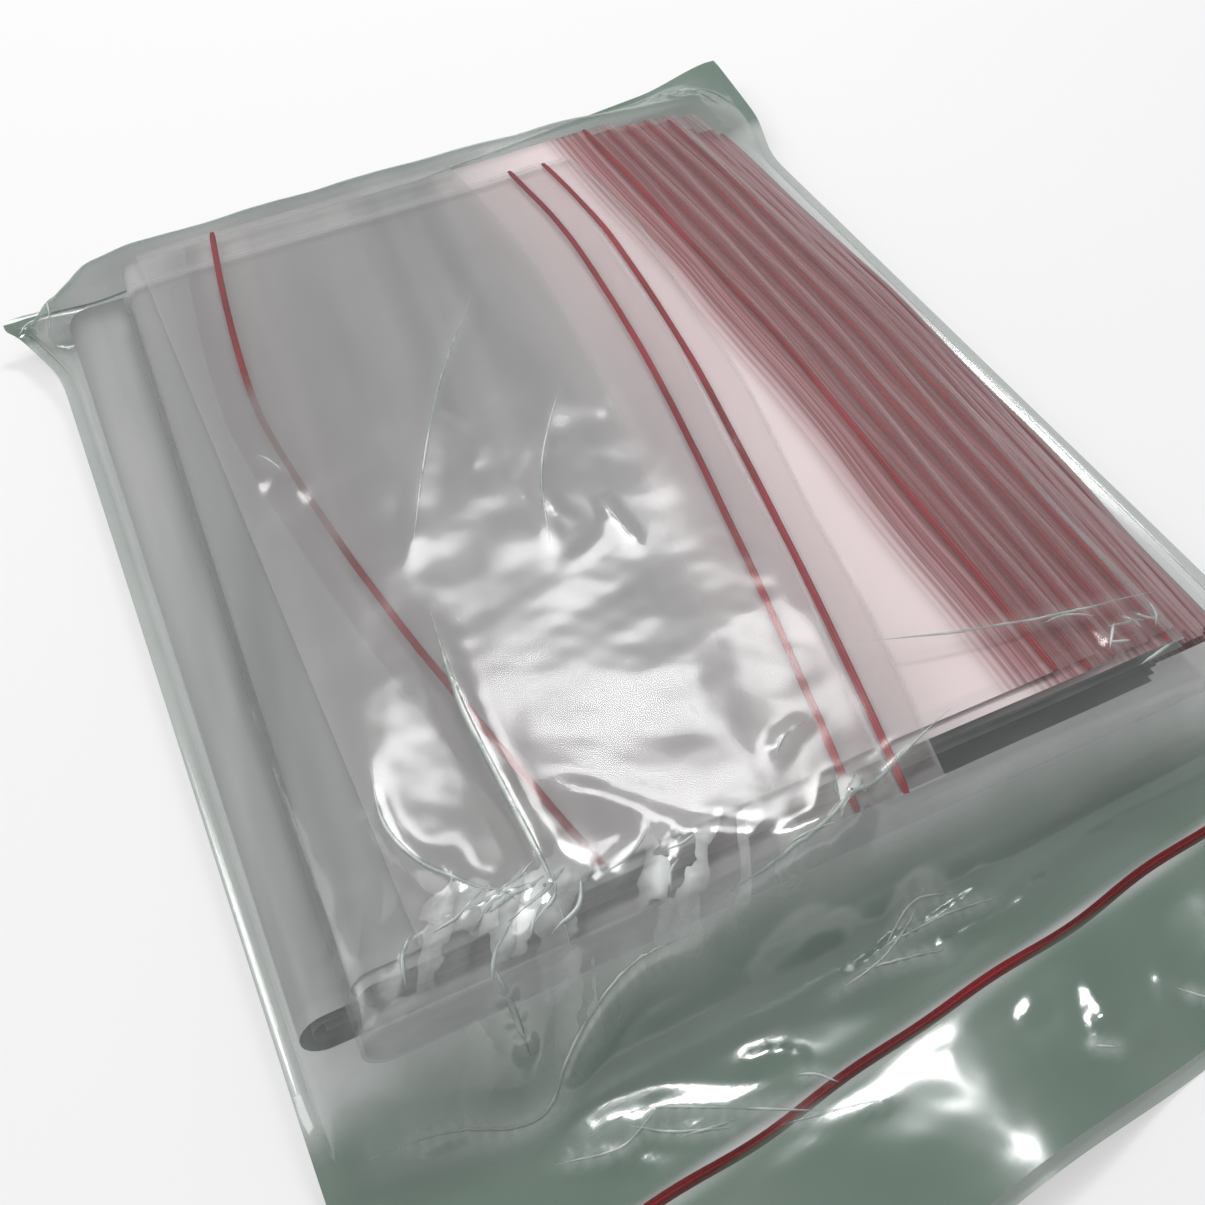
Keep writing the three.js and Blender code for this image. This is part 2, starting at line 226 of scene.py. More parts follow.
@dataclass(frozen=True)
class OuterFilmFinish:
    """Clear glossy film with a green cast, hazier where it lies low, and white along its creases, where
    stress whitening and a painted highlight are mixed into its colour.

    The mesh carries the haze in its veil attribute, the creases' painted white and glint in its crease
    attribute, where it covers the bundles in its cover attribute, and where it is flaked with painted
    highlights in its crumple attribute.
    """

    name: str = "outer_film"
    low_colour: Colour = (0.038, 0.125, 0.074)
    top_colour: Colour = (0.29, 0.34, 0.315)
    # White of the creases: stress whitening together with a painted highlight.
    crease_white_and_glint_colour: Colour = (0.86, 0.90, 0.88)
    roughness: float = 0.09
    roughness_spread: float = 0.14
    index: float = 2.6
    flake_length: float = 8.0
    flake_width: float = 2.6
    flake_turn: float = 0.9
    # The painted flake highlights: how much they hide, and the cell shades at which they turn white.
    flake_highlight_veil: float = 0.6
    flake_highlight_steps: tuple[float, float] = (0.4, 0.8)
    warp_scale: float = 220.0
    warp_reach: float = 1.6

    def material(self) -> bpy.types.Material:
        """The material: green where the film hangs free, greyer over the bundles, white at creases from
        stress whitening and a painted highlight, and white on flaked facets as painted highlights.

        Returns:
            The finished material.
        """
        graph = Graph(bpy.data.materials.new(self.name))
        where = graph.place()
        cloud = graph.noise(where, 60.0, 1.0)
        tinted = graph.mix(graph.attribute("cover"), self.low_colour, self.top_colour)
        # Painted highlights: white facets where the film is crumpled, which also hide more.
        flake_highlight = self.flake_highlights(graph, where) * graph.attribute("crumple")
        # Towards white at creases and flakes: stress whitening and painted highlights in the colour.
        colour = graph.mix(graph.attribute("crease") + flake_highlight, tinted, self.crease_white_and_glint_colour)
        return graph.end_material(graph.principled({
            "Base Color": colour,
            "Roughness": self.roughness + self.roughness_spread * cloud,
            "IOR": self.index,
            "Alpha": graph.attribute("veil") * (0.8 + 0.4 * cloud) + flake_highlight * self.flake_highlight_veil,
        }))

    def flake_highlights(self, graph: Graph, where: Shade) -> Shade:
        """Long cells that are turned along the crumples, some of them white: painted highlights on the facets
        of crumpled film.

        Args:
            graph: the graph of the material.
            where: the Object coordinates.

        Returns:
            How much painted highlight each place shows, from 0 to 1.
        """
        x, y = graph.part_of(where, "X"), graph.part_of(where, "Y")
        warp = graph.noise(where, self.warp_scale, 2.0) * self.warp_reach
        run, side = float(np.cos(self.flake_turn)), float(np.sin(self.flake_turn))
        along = (x * run + y * side) * (1.0 / (self.flake_length * MM))
        over = (y * run - x * side) * (1.0 / (self.flake_width * MM))
        cells = {"Vector": graph.vector(along + warp, over + warp, 0.0), "Scale": 1.0}
        cell = graph.node("ShaderNodeTexVoronoi", {"voronoi_dimensions": "2D"}, cells, "Color")
        from_core = graph.node("ShaderNodeTexVoronoi", {"voronoi_dimensions": "2D"}, cells, "Distance")
        return graph.part_of(cell, "X").steps(*self.flake_highlight_steps) * (1.2 - from_core)


@dataclass(frozen=True)
class CreaseWhiteAndGlintFinish:
    """The pinched ridges of the film's creases, which are nearly white and glossy: stress whitening together
    with a painted highlight, and painted shade in darker stretches.
    """

    name: str = "film_crease_white_and_glint"
    # Painted highlight of the ridges over their stress whitening, and its painted shade.
    colour: Colour = (0.74, 0.79, 0.76)
    shaded_colour: Colour = (0.46, 0.54, 0.50)
    roughness: float = 0.16
    index: float = 1.9
    veil: float = 0.8

    def material(self) -> bpy.types.Material:
        """The material: pale with a painted highlight, with stretches that are clearer and painted darker as
        shade.

        Returns:
            The finished material.
        """
        graph = Graph(bpy.data.materials.new(self.name))
        where = graph.place()
        # Noise picks stretches of painted highlight and of painted shade along the ridges.
        patch = graph.noise(where, 140.0, 2.0).steps(0.35, 0.65)
        return graph.end_material(graph.principled({
            "Base Color": graph.mix(patch, self.shaded_colour, self.colour),
            "Roughness": self.roughness + 0.1 * patch,
            "IOR": self.index,
            "Alpha": self.veil * (0.45 + 0.55 * patch),
            "Normal": graph.bump(graph.noise(where, 1500.0, 1.0), 0.2, 0.1 * MM),
        }))


@dataclass(frozen=True)
class BagFinish:
    """Film of an inner bag: milky in layers, pink and streaked red by its zip, with pale edges and a painted
    highlight in a broad band to the left of the zip.

    Attributes:
        name: name of the material.
        body_veil: how much one face hides to the left of the zip.
        lip_veil: how much one face hides in the lip, to the right of the zip.
        blush: how strong the pink beside the zip is.
        streaks: how strong the red streaks of the zips that lie under this one are.
        pale_edges: how pale the lip and the side welds are.
        painted_highlight: how strong the painted highlight is in the broad band to the left of the zip.
        layers: how much the fanned edges of the layers under this one show.
    """

    name: str
    body_veil: float
    lip_veil: float
    blush: float
    streaks: float
    pale_edges: float
    painted_highlight: float
    layers: float
    milk: Colour = (0.285, 0.285, 0.29)
    pale: Colour = (0.54, 0.535, 0.535)
    # Pinkish white of the painted highlight.
    painted_highlight_colour: Colour = (0.97, 0.79, 0.81)
    pink: Colour = (0.27, 0.042, 0.062)
    red: Colour = (0.20, 0.006, 0.018)
    half_width: float = 80.0
    weld: float = 2.5
    lip: float = 6.0
    index: float = 1.45
    # Where the painted highlight fades in, counted from the zip.
    painted_highlight_span: tuple[float, float] = (-40.0, -10.0)
    blush_span: tuple[float, float] = (11.0, 3.0)
    streak_span: tuple[float, float] = (10.0, 4.0)
    lip_span: tuple[float, float] = (-2.5, 0.0)
    streaks_per_mm: float = 1.7
    layers_per_mm: float = 0.075
    layer_turn: float = 0.009
    streak_veil: float = 0.3
    edge_veil: float = 0.16

    def material(self) -> bpy.types.Material:
        """The material, whose UV gives the distance from the zip and from the bag's middle.

        Returns:
            The finished material.
        """
        graph = Graph(bpy.data.materials.new(self.name))
        where = graph.place()
        flat = graph.place("UV")
        from_zip = graph.part_of(flat, "X") * UV_UNIT
        along = graph.part_of(flat, "Y") * UV_UNIT
        from_middle = along.size()
        cloud = graph.noise(where, 30.0, 1.0)
        weld = from_middle.steps(self.half_width - self.weld, self.half_width - 0.6 * self.weld)
        edges = weld.math("MAXIMUM", weld, from_zip.steps(self.lip - 0.9, self.lip - 0.3))
        fanned = self.layers_per_mm * from_zip - self.layer_turn * along
        fan = graph.vector(fanned, 0.004 * along, 0.0)
        layer = graph.noise(fan, 1.0, 2.0).steps(0.4, 0.6)
        milky = graph.mix(0.35 * cloud + self.layers * layer, self.milk, self.pale)
        # Painted highlight: the film from 10 mm left of the zip onwards is mixed towards pinkish white,
        # fading out by 40 mm left.
        highlit = graph.mix(from_zip.steps(*self.painted_highlight_span) * self.painted_highlight, milky, self.painted_highlight_colour)
        blushed = graph.mix(from_zip.size().steps(*self.blush_span) * self.blush, highlit, self.pink)
        in_lip = from_zip.steps(*self.lip_span)
        veil = (self.body_veil + (self.lip_veil - self.body_veil) * in_lip) * (0.85 + 0.3 * cloud)
        sockets = {
            "Base Color": graph.mix(edges * self.pale_edges, blushed, self.pale),
            "Roughness": 0.3 + 0.25 * cloud,
            "IOR": self.index,
        }
        if self.streaks:
            lines = graph.vector(from_zip * self.streaks_per_mm, from_middle * 0.012, 0.0)
            streak = graph.noise(lines, 1.0, 1.0).steps(0.38, 0.64)
            red = streak * from_zip.size().steps(*self.streak_span) * self.streaks
            sockets["Base Color"] = graph.mix(red, sockets["Base Color"], self.red)
            veil = veil + red * self.streak_veil
        if self.lip_veil < 1.0:
            sockets["Alpha"] = veil + edges * self.edge_veil
        return graph.end_material(graph.principled(sockets))


@dataclass(frozen=True)
class ZipFinish:
    """Dark red plastic of a zip, a little uneven in colour along its length."""

    name: str = "red_zip"
    colour: Colour = (0.33, 0.006, 0.022)
    dark_colour: Colour = (0.20, 0.003, 0.012)
    roughness: float = 0.36
    index: float = 1.35
    fades: bool = False
    hidden_veil: float = 0.14
    far_veil: float = 0.8
    far_span: tuple[float, float] = (48.0, 62.0)
    near_veil: float = 0.4
    near_span: tuple[float, float] = (14.0, 4.0)

    def material(self) -> bpy.types.Material:
        """The material: red with darker stretches, and a slightly drawn surface.

        A zip that fades is clear at the pack's far end, fainter in its middle and dim at its near end.

        Returns:
            The finished material.
        """
        graph = Graph(bpy.data.materials.new(self.name))
        where = graph.place()
        stretch = graph.noise(where, 45.0, 2.0).steps(0.35, 0.7)
        sockets = {
            "Base Color": graph.mix(stretch, self.dark_colour, self.colour),
            "Roughness": self.roughness + 0.15 * stretch,
            "IOR": self.index,
            "Normal": graph.bump(graph.noise(where, 700.0, 2.0), 0.2, 0.15 * MM),
        }
        if self.fades:
            place_y = graph.part_of(where, "Y") * (1.0 / MM)
            far = self.far_veil * place_y.steps(*self.far_span)
            near = self.near_veil * place_y.steps(*self.near_span)
            sockets["Alpha"] = self.hidden_veil + far + near
        return graph.end_material(graph.principled(sockets))


@dataclass(frozen=True)
class FloorFinish:
    """A plain pale floor, which is lifted towards white where the camera sees it."""

    name: str = "floor"
    colour: Colour = (0.84, 0.84, 0.84)
    roughness: float = 0.8
    lift: float = 0.45

    def material(self) -> bpy.types.Material:
        """The material: matt, with a faint mottle, mixed with plain white where it is seen.

        Returns:
            The finished material.
        """
        graph = Graph(bpy.data.materials.new(self.name))
        mottle = graph.noise(graph.place(), 6.0, 2.0)
        tone = graph.mix(mottle * 0.05, self.colour, (0.8, 0.8, 0.8))
        matt = graph.principled({"Base Color": tone, "Roughness": self.roughness})
        white = graph.node("ShaderNodeEmission", {}, {"Color": (1.0, 1.0, 1.0, 1.0), "Strength": 1.0})
        rays = [graph.node("ShaderNodeLightPath", {}, {}, f"Is {kind} Ray")
                for kind in ("Camera", "Glossy", "Transmission")]
        seen = rays[0].math("MAXIMUM", rays[0], rays[1].math("MAXIMUM", rays[1], rays[2]))
        mixed = graph.node("ShaderNodeMixShader", {}, {0: seen * self.lift, 1: matt, 2: white})
        return graph.end_material(mixed)


class Depth(Enum):
    """How deep a bag lies in the pack, with the finish of its film."""

    # glow sets how strong each depth's painted highlight is.
    TOP = BagFinish("bag_film_top", body_veil=0.2, lip_veil=0.18, blush=0.2, streaks=0.0,
                    pale_edges=0.6, painted_highlight=0.35, layers=0.4)
    MIDDLE = BagFinish("bag_film_middle", body_veil=1.3, lip_veil=0.16, blush=0.8, streaks=0.8,
                       pale_edges=0.2, painted_highlight=0.9, layers=0.6)
    DEEP = BagFinish("bag_film_deep", body_veil=1.0, lip_veil=1.0, blush=0.8, streaks=1.0,
                     pale_edges=0.15, painted_highlight=0.4, layers=0.4)


@dataclass(frozen=True)
class PackSizes:
    """Sizes in mm that every piece shares with the solids."""

    bag_width: float = 160.0
    bag_sheet: float = 0.25
    bag_lip: float = 6.0
    zip_width: float = 1.4
    zip_height: float = 0.22
    bag_gap: float = 0.05
    bags: int = 7
    bundle_gap: float = 0.3
    middle_y: float = 23.0
    shear: float = 0.045
    uneven: float = 0.8
    slip_to_mouth: float = 7.5
    lower_shift: float = 3.0
    bow_power: float = 1.5
    film: float = 0.25
    film_clearance: float = 0.6

    @property
    def pitch(self) -> float:
        """From one bag of a bundle to the next."""
        return self.bag_sheet + self.zip_height + 2.0 * self.bag_gap

    @property
    def half_height(self) -> float:
        """Half the height of a bundle."""
        return (self.bags - 0.5) * self.pitch + self.bag_sheet / 2.0

    @property
    def lower_z(self) -> float:
        """Height of the lower bundle's middle."""
        return self.film + self.film_clearance + self.half_height

    @property
    def upper_z(self) -> float:
        """Height of the upper bundle's middle."""
        return self.lower_z + 2.0 * self.half_height + self.bag_gap + self.zip_height + self.bundle_gap

    @property
    def loose_z(self) -> float:
        """Height of the loose bag."""
        return self.upper_z + self.half_height + self.bundle_gap + self.bag_sheet / 2.0

    @property
    def near_y(self) -> float:
        """The bundles' end by the mouth of the outer bag."""
        slip = max(self.uneven, self.slip_to_mouth)
        return self.middle_y - self.bag_width / 2.0 - slip - self.film_clearance

    @property
    def far_y(self) -> float:
        """The bundles' end by the bottom weld of the outer bag."""
        return self.middle_y + self.bag_width / 2.0 + self.lower_shift + self.uneven + self.film_clearance

    def bow_at(self, depth: float, middle: float, y: Array) -> Array:
        """How far a zip is pulled to the left at y by its bow about the given middle."""
        return -depth * (np.abs(y - middle) / (self.bag_width / 2.0)) ** self.bow_power

    def y_at(self, x: Array, share: Array, shift: float) -> Array:
        """The place along Y at a share of a bag's width, which is sheared and shifted."""
        return self.middle_y + self.shear * x + shift + (share - 0.5) * self.bag_width


PACK = PackSizes()
STACK_WAVES = Waves(seed=4, count=6, shortest=45.0, longest=110.0, height=0.4)


def settle(points: Array, own: Union[Waves, None] = None) -> Array:
    """Lifts points by waves of their own, and by those of the pack, which fade out towards the ground.

    Args:
        points: places in mm, X, Y and Z last.
        own: the small waves of one bag.

    Returns:
        The lifted places.
    """
    settled = points.copy()
    if own:
        settled[..., 2] += own.at(points[..., 0], points[..., 1])
    settled[..., 2] += STACK_WAVES.at(points[..., 0], points[..., 1]) * settled[..., 2] / PACK.loose_z
    return settled


def object_from(name: str, points: Array, faces: Any, uv: Union[Array, None] = None,
                numbers: Union[dict[str, Array], None] = None, smooth: bool = True) -> bpy.types.Object:
    """A mesh object at the origin.

    Args:
        name: name of the piece.
        points: vertices in mm, one a row.
        faces: vertex numbers of each face.
        uv: a place on the flat sheet for each vertex.
        numbers: further numbers for each vertex, by attribute name.
        smooth: whether its faces are shaded smooth.

    Returns:
        The object, linked to the scene.
    """
    mesh = bpy.data.meshes.new(name)
    mesh.from_pydata((points * MM).tolist(), [], [list(map(int, face)) for face in faces])
    mesh.polygons.foreach_set("use_smooth", np.full(len(mesh.polygons), smooth))
    if uv is not None:
        corners = np.empty(len(mesh.loops), dtype=np.int32)
        mesh.loops.foreach_get("vertex_index", corners)
        mesh.uv_layers.new(name="flat").uv.foreach_set("vector", uv[corners].astype(np.float32).ravel())
    for key, values in (numbers or {}).items():
        numbered = mesh.attributes.new(key, "FLOAT", "POINT")
        numbered.data.foreach_set("value", values.astype(np.float32).ravel())
    mesh.update()
    made = bpy.data.objects.new(name, mesh)
    bpy.context.scene.collection.objects.link(made)
    return made


def grid_faces(columns: int, rows: int) -> Array:
    """Four vertex numbers for each cell of a grid of columns by rows, whose rows run fastest."""
    number = np.arange(columns * rows).reshape(columns, rows)
    corners = (number[:-1, :-1], number[1:, :-1], number[1:, 1:], number[:-1, 1:])
    return np.stack(corners, axis=-1).reshape(-1, 4)


def dress(piece: bpy.types.Object, finish: bpy.types.Material, node: str = "") -> None:
    """Gives a piece its material and its body, and hides the imported part of the node that it stands for, if
    any.
    """
    piece.data.materials.append(finish)
    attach(piece, BODY)
    if node:
        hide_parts(node)


def sweep(path: Array, side: Array, profile: Array, scale: Array) -> tuple[Array, list[list[int]]]:
    """A closed strip: a profile in width and height, carried along a path and scaled at each step.

    Args:
        path: places along the strip, in mm.
        side: unit vectors across the strip, one for each place.
        profile: width and height of the profile's corners, in order around it.
        scale: factor on the profile at each place.

    Returns:
        The vertices in mm and the faces.
    """
    up = np.array([0.0, 0.0, 1.0])
    spread = side[:, None, :] * profile[None, :, 0:1] + up * profile[None, :, 1:2]
    points = path[:, None, :] + spread * scale[:, None, None]
    steps, corners = len(path), len(profile)
    number = np.arange(steps * corners).reshape(steps, corners)
    after = np.roll(number, -1, axis=1)
    quads = np.stack((number[:-1], after[:-1], after[1:], number[1:]), axis=-1).reshape(-1, 4)
    caps = [number[0, ::-1].tolist(), number[-1].tolist()]
    return points.reshape(-1, 3), quads.tolist() + caps


def across(path: Array) -> Array:
    """Unit vectors across a path, level with the ground and to its right."""
    run = np.gradient(path, axis=0)
    side = np.stack((run[:, 1], -run[:, 0], np.zeros(len(path))), axis=-1)
    return side / np.linalg.norm(side, axis=-1, keepdims=True)


@dataclass(frozen=True)
class ZipStrip:
    """A zip's strip with two ridges and a groove between them, pressed flat at its ends.

    Attributes:
        width: width of the strip, in mm.
        height: height of its ridges, in mm.
        corners: how many places there are across it.
        pressed: length of each pressed end, as a share of the strip.
    """

    width: float
    height: float
    corners: int = 9
    pressed: float = 0.012

    def profile(self) -> Array:
        """Ridges of height (1 - t^6)(0.8 - 0.2 cos 2 pi t) over t from -1 to 1, on a flat foot."""
        t = np.linspace(1.0, -1.0, self.corners)
        ridges = self.height * (1.0 - t ** 6) * (0.8 - 0.2 * np.cos(2.0 * np.pi * t))
        return np.stack((t * self.width / 2.0, ridges), axis=-1)

    def piece(self, name: str, path: Array, finish: bpy.types.Material) -> bpy.types.Object:
        """The strip along a path, as a piece that stands for the node of its name."""
        share = np.linspace(0.0, 1.0, len(path))
        ends = smooth_step(np.minimum(share, 1.0 - share), -1.6 * self.pressed, self.pressed)
        points, faces = sweep(path, across(path), self.profile(), ends)
        made = object_from(name + "_red", points, faces, smooth=False)
        dress(made, finish, name)
        log.info("%s: zip of %.0f mm", name, np.linalg.norm(np.diff(path, axis=0), axis=-1).sum())
        return made


INNER_ZIP = ZipStrip(width=ZIP_SEEN * PACK.zip_width, height=PACK.zip_height)


@dataclass(frozen=True)
class BundleSizes:
    """Where a bundle's fold, zips and bottom edges lie, in mm."""

    name: str
    fold_x: float
    fold_turn: float
    middle_z: float
    zip_reach: float
    zip_step: float
    bottom_reach: float
    shift_y: float
    slips: tuple[float, ...]


class Bundle(Enum):
    """The two bundles of the pack."""

    UPPER = BundleSizes("upper", -56.0, 0.035, PACK.upper_z, 113.5, 4.5, 114.0, 0.0, (10.5, 8.0))
    LOWER = BundleSizes("lower", -64.5, 0.008, PACK.lower_z, 130.0, 1.5, 122.0, PACK.lower_shift, ())


@dataclass(frozen=True)
class FoldedBag:
    """One bag of a bundle, folded once at the left, with its zip near its lip on top.

    Attributes:
        bundle: the bundle that it belongs to.
        order: its place in the bundle, from 0 for the outermost.
    """

    bundle: Bundle
    order: int
    zip_bow: float = 2.0
    zip_bow_y: float = 30.0
    slipped_bow: float = 8.4
    slipped_bow_y: float = 70.0
    sheet: float = 0.1
    leg_steps: int = 72
    fold_steps: int = 12
    foot_steps: int = 16
    rows: int = 64
    lip_wave: float = 0.3

    @property
    def name(self) -> str:
        """The node that this bag stands for."""
        return f"{self.bundle.value.name}_bag_{self.order + 1}"

    @property
    def slip(self) -> float:
        """How far the bag has slipped back."""
        slips = self.bundle.value.slips
        return slips[self.order] if self.order < len(slips) else 0.0

    @property
    def steps_out(self) -> int:
        """How many bags lie inside this one."""
        return PACK.bags - 1 - self.order

    @property
    def radius(self) -> float:
        """Radius of the fold."""
        return (self.steps_out + 0.5) * PACK.pitch

    @property
    def zip_x(self) -> float:
        """Place of the zip along X, at the middle of its bow."""
        sizes = self.bundle.value
        return sizes.fold_x + sizes.zip_reach - self.steps_out * sizes.zip_step - self.slip

    @property
    def shift_y(self) -> float:
        """How far the bag lies off the middle along Y."""
        if self.slip:
            return -PACK.slip_to_mouth
        return self.bundle.value.shift_y + PACK.uneven * (self.order % 3 - 1)

    @property
    def seed(self) -> int:
        """Seed of this bag's own waves."""
        return 20 + self.order + (40 if self.bundle is Bundle.LOWER else 0)

    @property
    def depth(self) -> Depth:
        """How deep the bag lies, seen from above."""
        if self.bundle is Bundle.LOWER:
            return Depth.DEEP
        return Depth.TOP if self.order < 2 else Depth.MIDDLE

    def zip_at(self, y: Array) -> Array:
        """The zip's place along X at y."""
        bow, middle = (self.slipped_bow, self.slipped_bow_y) if self.slip else (self.zip_bow, self.zip_bow_y)
        return self.zip_x + PACK.bow_at(bow, middle, y)

    def fold_at(self, share: Array) -> Array:
        """The fold's place along X at a share of the bag's width."""
        sizes = self.bundle.value
        return sizes.fold_x + sizes.fold_turn * (PACK.y_at(sizes.fold_x, share, self.shift_y) - PACK.middle_y)

    @property
    def waves(self) -> Waves:
        """This bag's own small waves."""
        return Waves(seed=self.seed, count=5, shortest=14.0, longest=40.0, height=0.1)

    def corners(self, share: Array) -> Array:
        """The outermost X and Z of the bag's section, which the outer film passes around."""
        sizes = self.bundle.value
        outer = self.radius + PACK.bag_sheet / 2.0
        turn = np.pi * (0.5 + np.linspace(0.0, 1.0, self.fold_steps))
        fold = self.fold_at(share)[:, None]
        round_x = fold + outer * np.cos(turn)
        round_z = np.broadcast_to(sizes.middle_z + outer * np.sin(turn), round_x.shape)
        lip_x = self.zip_at(PACK.y_at(self.zip_x, share, self.shift_y)) + PACK.bag_lip
        bottom_x = np.full_like(share, sizes.fold_x + sizes.bottom_reach)
        x = np.concatenate((round_x.ravel(), lip_x, bottom_x))
        z = np.concatenate((round_z.ravel(), np.full_like(share, sizes.middle_z + outer),
                            np.full_like(share, sizes.middle_z - outer)))
        return np.stack((x, z), axis=-1)

    def surface(self) -> tuple[Array, Array]:
        """The sheet from its lip over the left fold to its bottom edge.

        Across a row of the grid the section runs straight from the lip to the fold, round a half circle,
        and straight on to the bottom edge. Along the rows it shifts with the bow of the zip.

        Returns:
            The places in mm, and the distances from the zip and from the middle, in UV units.
        """
        sizes = self.bundle.value
        share = np.linspace(0.0, 1.0, self.rows)[None, :]
        wave = self.lip_wave * np.sin(2.0 * np.pi * (3.0 * share + 0.37 * self.seed))
        lip = self.zip_at(PACK.y_at(self.zip_x, share, self.shift_y)) + PACK.bag_lip + wave
        fold = self.fold_at(share)
        leg = np.linspace(0.0, 1.0, self.leg_steps)[:, None] ** 1.2
        turn = np.linspace(0.0, np.pi, self.fold_steps)[1:-1, None]
        foot = np.linspace(0.0, 1.0, self.foot_steps)[:, None]
        x = np.concatenate((lerp(lip, fold, leg), fold - self.radius * np.sin(turn),
                            lerp(fold, sizes.fold_x + sizes.bottom_reach, foot)))
        z = np.concatenate((np.full_like(leg, self.radius), self.radius * np.cos(turn),
                            np.full_like(foot, -self.radius))) + sizes.middle_z
        z = np.broadcast_to(z, x.shape)
        y = PACK.y_at(x, share, self.shift_y)
        points = settle(np.stack((x, y, z), axis=-1), self.waves)
        steps = np.hypot(np.diff(x, axis=0), np.diff(z, axis=0))
        run = np.concatenate((np.zeros_like(share), np.cumsum(steps, axis=0)))
        middle = np.broadcast_to((share - 0.5) * PACK.bag_width, x.shape)
        return points, np.stack((PACK.bag_lip - run, middle), axis=-1) / UV_UNIT

    def build(self, finishes: dict[Depth, bpy.types.Material], zip_finish: bpy.types.Material) -> None:
        """Makes the bag's sheet and its zip.

        Args:
            finishes: the material of the film at each depth.
            zip_finish: the material of the zip.
        """
        points, flat = self.surface()
        columns, rows = points.shape[:2]
        sheet = object_from(self.name + "_film", points.reshape(-1, 3), grid_faces(columns, rows),
                            flat.reshape(-1, 2))
        dress(sheet, finishes[self.depth], self.name)
        share = np.linspace(0.0, 1.0, 2 * self.rows)
        x = self.zip_at(PACK.y_at(self.zip_x, share, self.shift_y))
        z = np.full_like(x, self.bundle.value.middle_z + self.radius)
        path = settle(np.stack((x, PACK.y_at(x, share, self.shift_y), z), axis=-1), self.waves)
        path[:, 2] += self.sheet / 2.0
        strip = INNER_ZIP.piece(self.name + "_zip", path, zip_finish)
        flat_length = -flat[-1, :, 0].mean() * UV_UNIT + PACK.bag_lip
        flat_length * MM
        log.info("%s: %.0f by %.0f mm of film", self.name, PACK.bag_width, flat_length)


@dataclass(frozen=True)
class LooseBag:
    """The single bag that lies on the upper bundle and ends short of the first zip."""

    first: FoldedBag
    from_fold: float = 3.5
    to_first_zip: float = 9.0
    zip_from_fold: float = 12.0
    zip_bow: float = 10.0
    zip_bow_y: float = 45.0
    sheet: float = 0.1
    columns: int = 90
    rows: int = 70
    waves: Waves = Waves(seed=11, count=5, shortest=16.0, longest=45.0, height=0.12)
    name: str = "loose_bag"

    @property
    def left_x(self) -> float:
        """Left edge of the bag."""
        return Bundle.UPPER.value.fold_x + self.from_fold

    def zip_at(self, y: Array) -> Array:
        """The zip's place along X at y."""
        return Bundle.UPPER.value.fold_x + self.zip_from_fold - PACK.bow_at(self.zip_bow, self.zip_bow_y, y)

    def corners(self) -> Array:
        """The X and Z of the bag's upper corners, zip included."""
        top = PACK.loose_z + PACK.bag_sheet / 2.0 + PACK.bag_gap + PACK.zip_height
        return np.array([[self.left_x, top], [self.first.zip_x - self.to_first_zip, top]])

    def build(self, finish: bpy.types.Material, zip_finish: bpy.types.Material) -> None:
        """Makes the sheet, level between its left edge and the bowed right one, and the zip.

        Args:
            finish: the material of the film.
            zip_finish: the material of the zip.
        """
        share = np.linspace(0.0, 1.0, self.rows)[None, :]
        right = self.first.zip_at(PACK.y_at(self.first.zip_x, share, 0.0)) - self.to_first_zip
        x = lerp(self.left_x, right, np.linspace(0.0, 1.0, self.columns)[:, None])
        y = PACK.y_at(x, share, 0.0)
        points = settle(np.stack((x, y, np.full_like(x, PACK.loose_z)), axis=-1), self.waves)
        middle = np.broadcast_to((share - 0.5) * PACK.bag_width, x.shape)
        flat = np.stack((self.zip_at(y) - x, middle), axis=-1) / UV_UNIT
        sheet = object_from(self.name + "_film", points.reshape(-1, 3), grid_faces(*x.shape)[:, ::-1],
                            flat.reshape(-1, 2))
        dress(sheet, finish, self.name)
        along = np.linspace(0.0, 1.0, 2 * self.rows)
        zip_x = self.zip_at(PACK.y_at(self.zip_at(np.array(PACK.middle_y)), along, 0.0))
        level = np.full_like(zip_x, PACK.loose_z)
        path = settle(np.stack((zip_x, PACK.y_at(zip_x, along, 0.0), level), axis=-1), self.waves)
        path[:, 2] += self.sheet / 2.0
        strip = INNER_ZIP.piece(self.name + "_zip", path, zip_finish)
        length = float((right - self.left_x).mean())
        log.info("%s: %.0f by %.0f mm of film", self.name, PACK.bag_width, length)


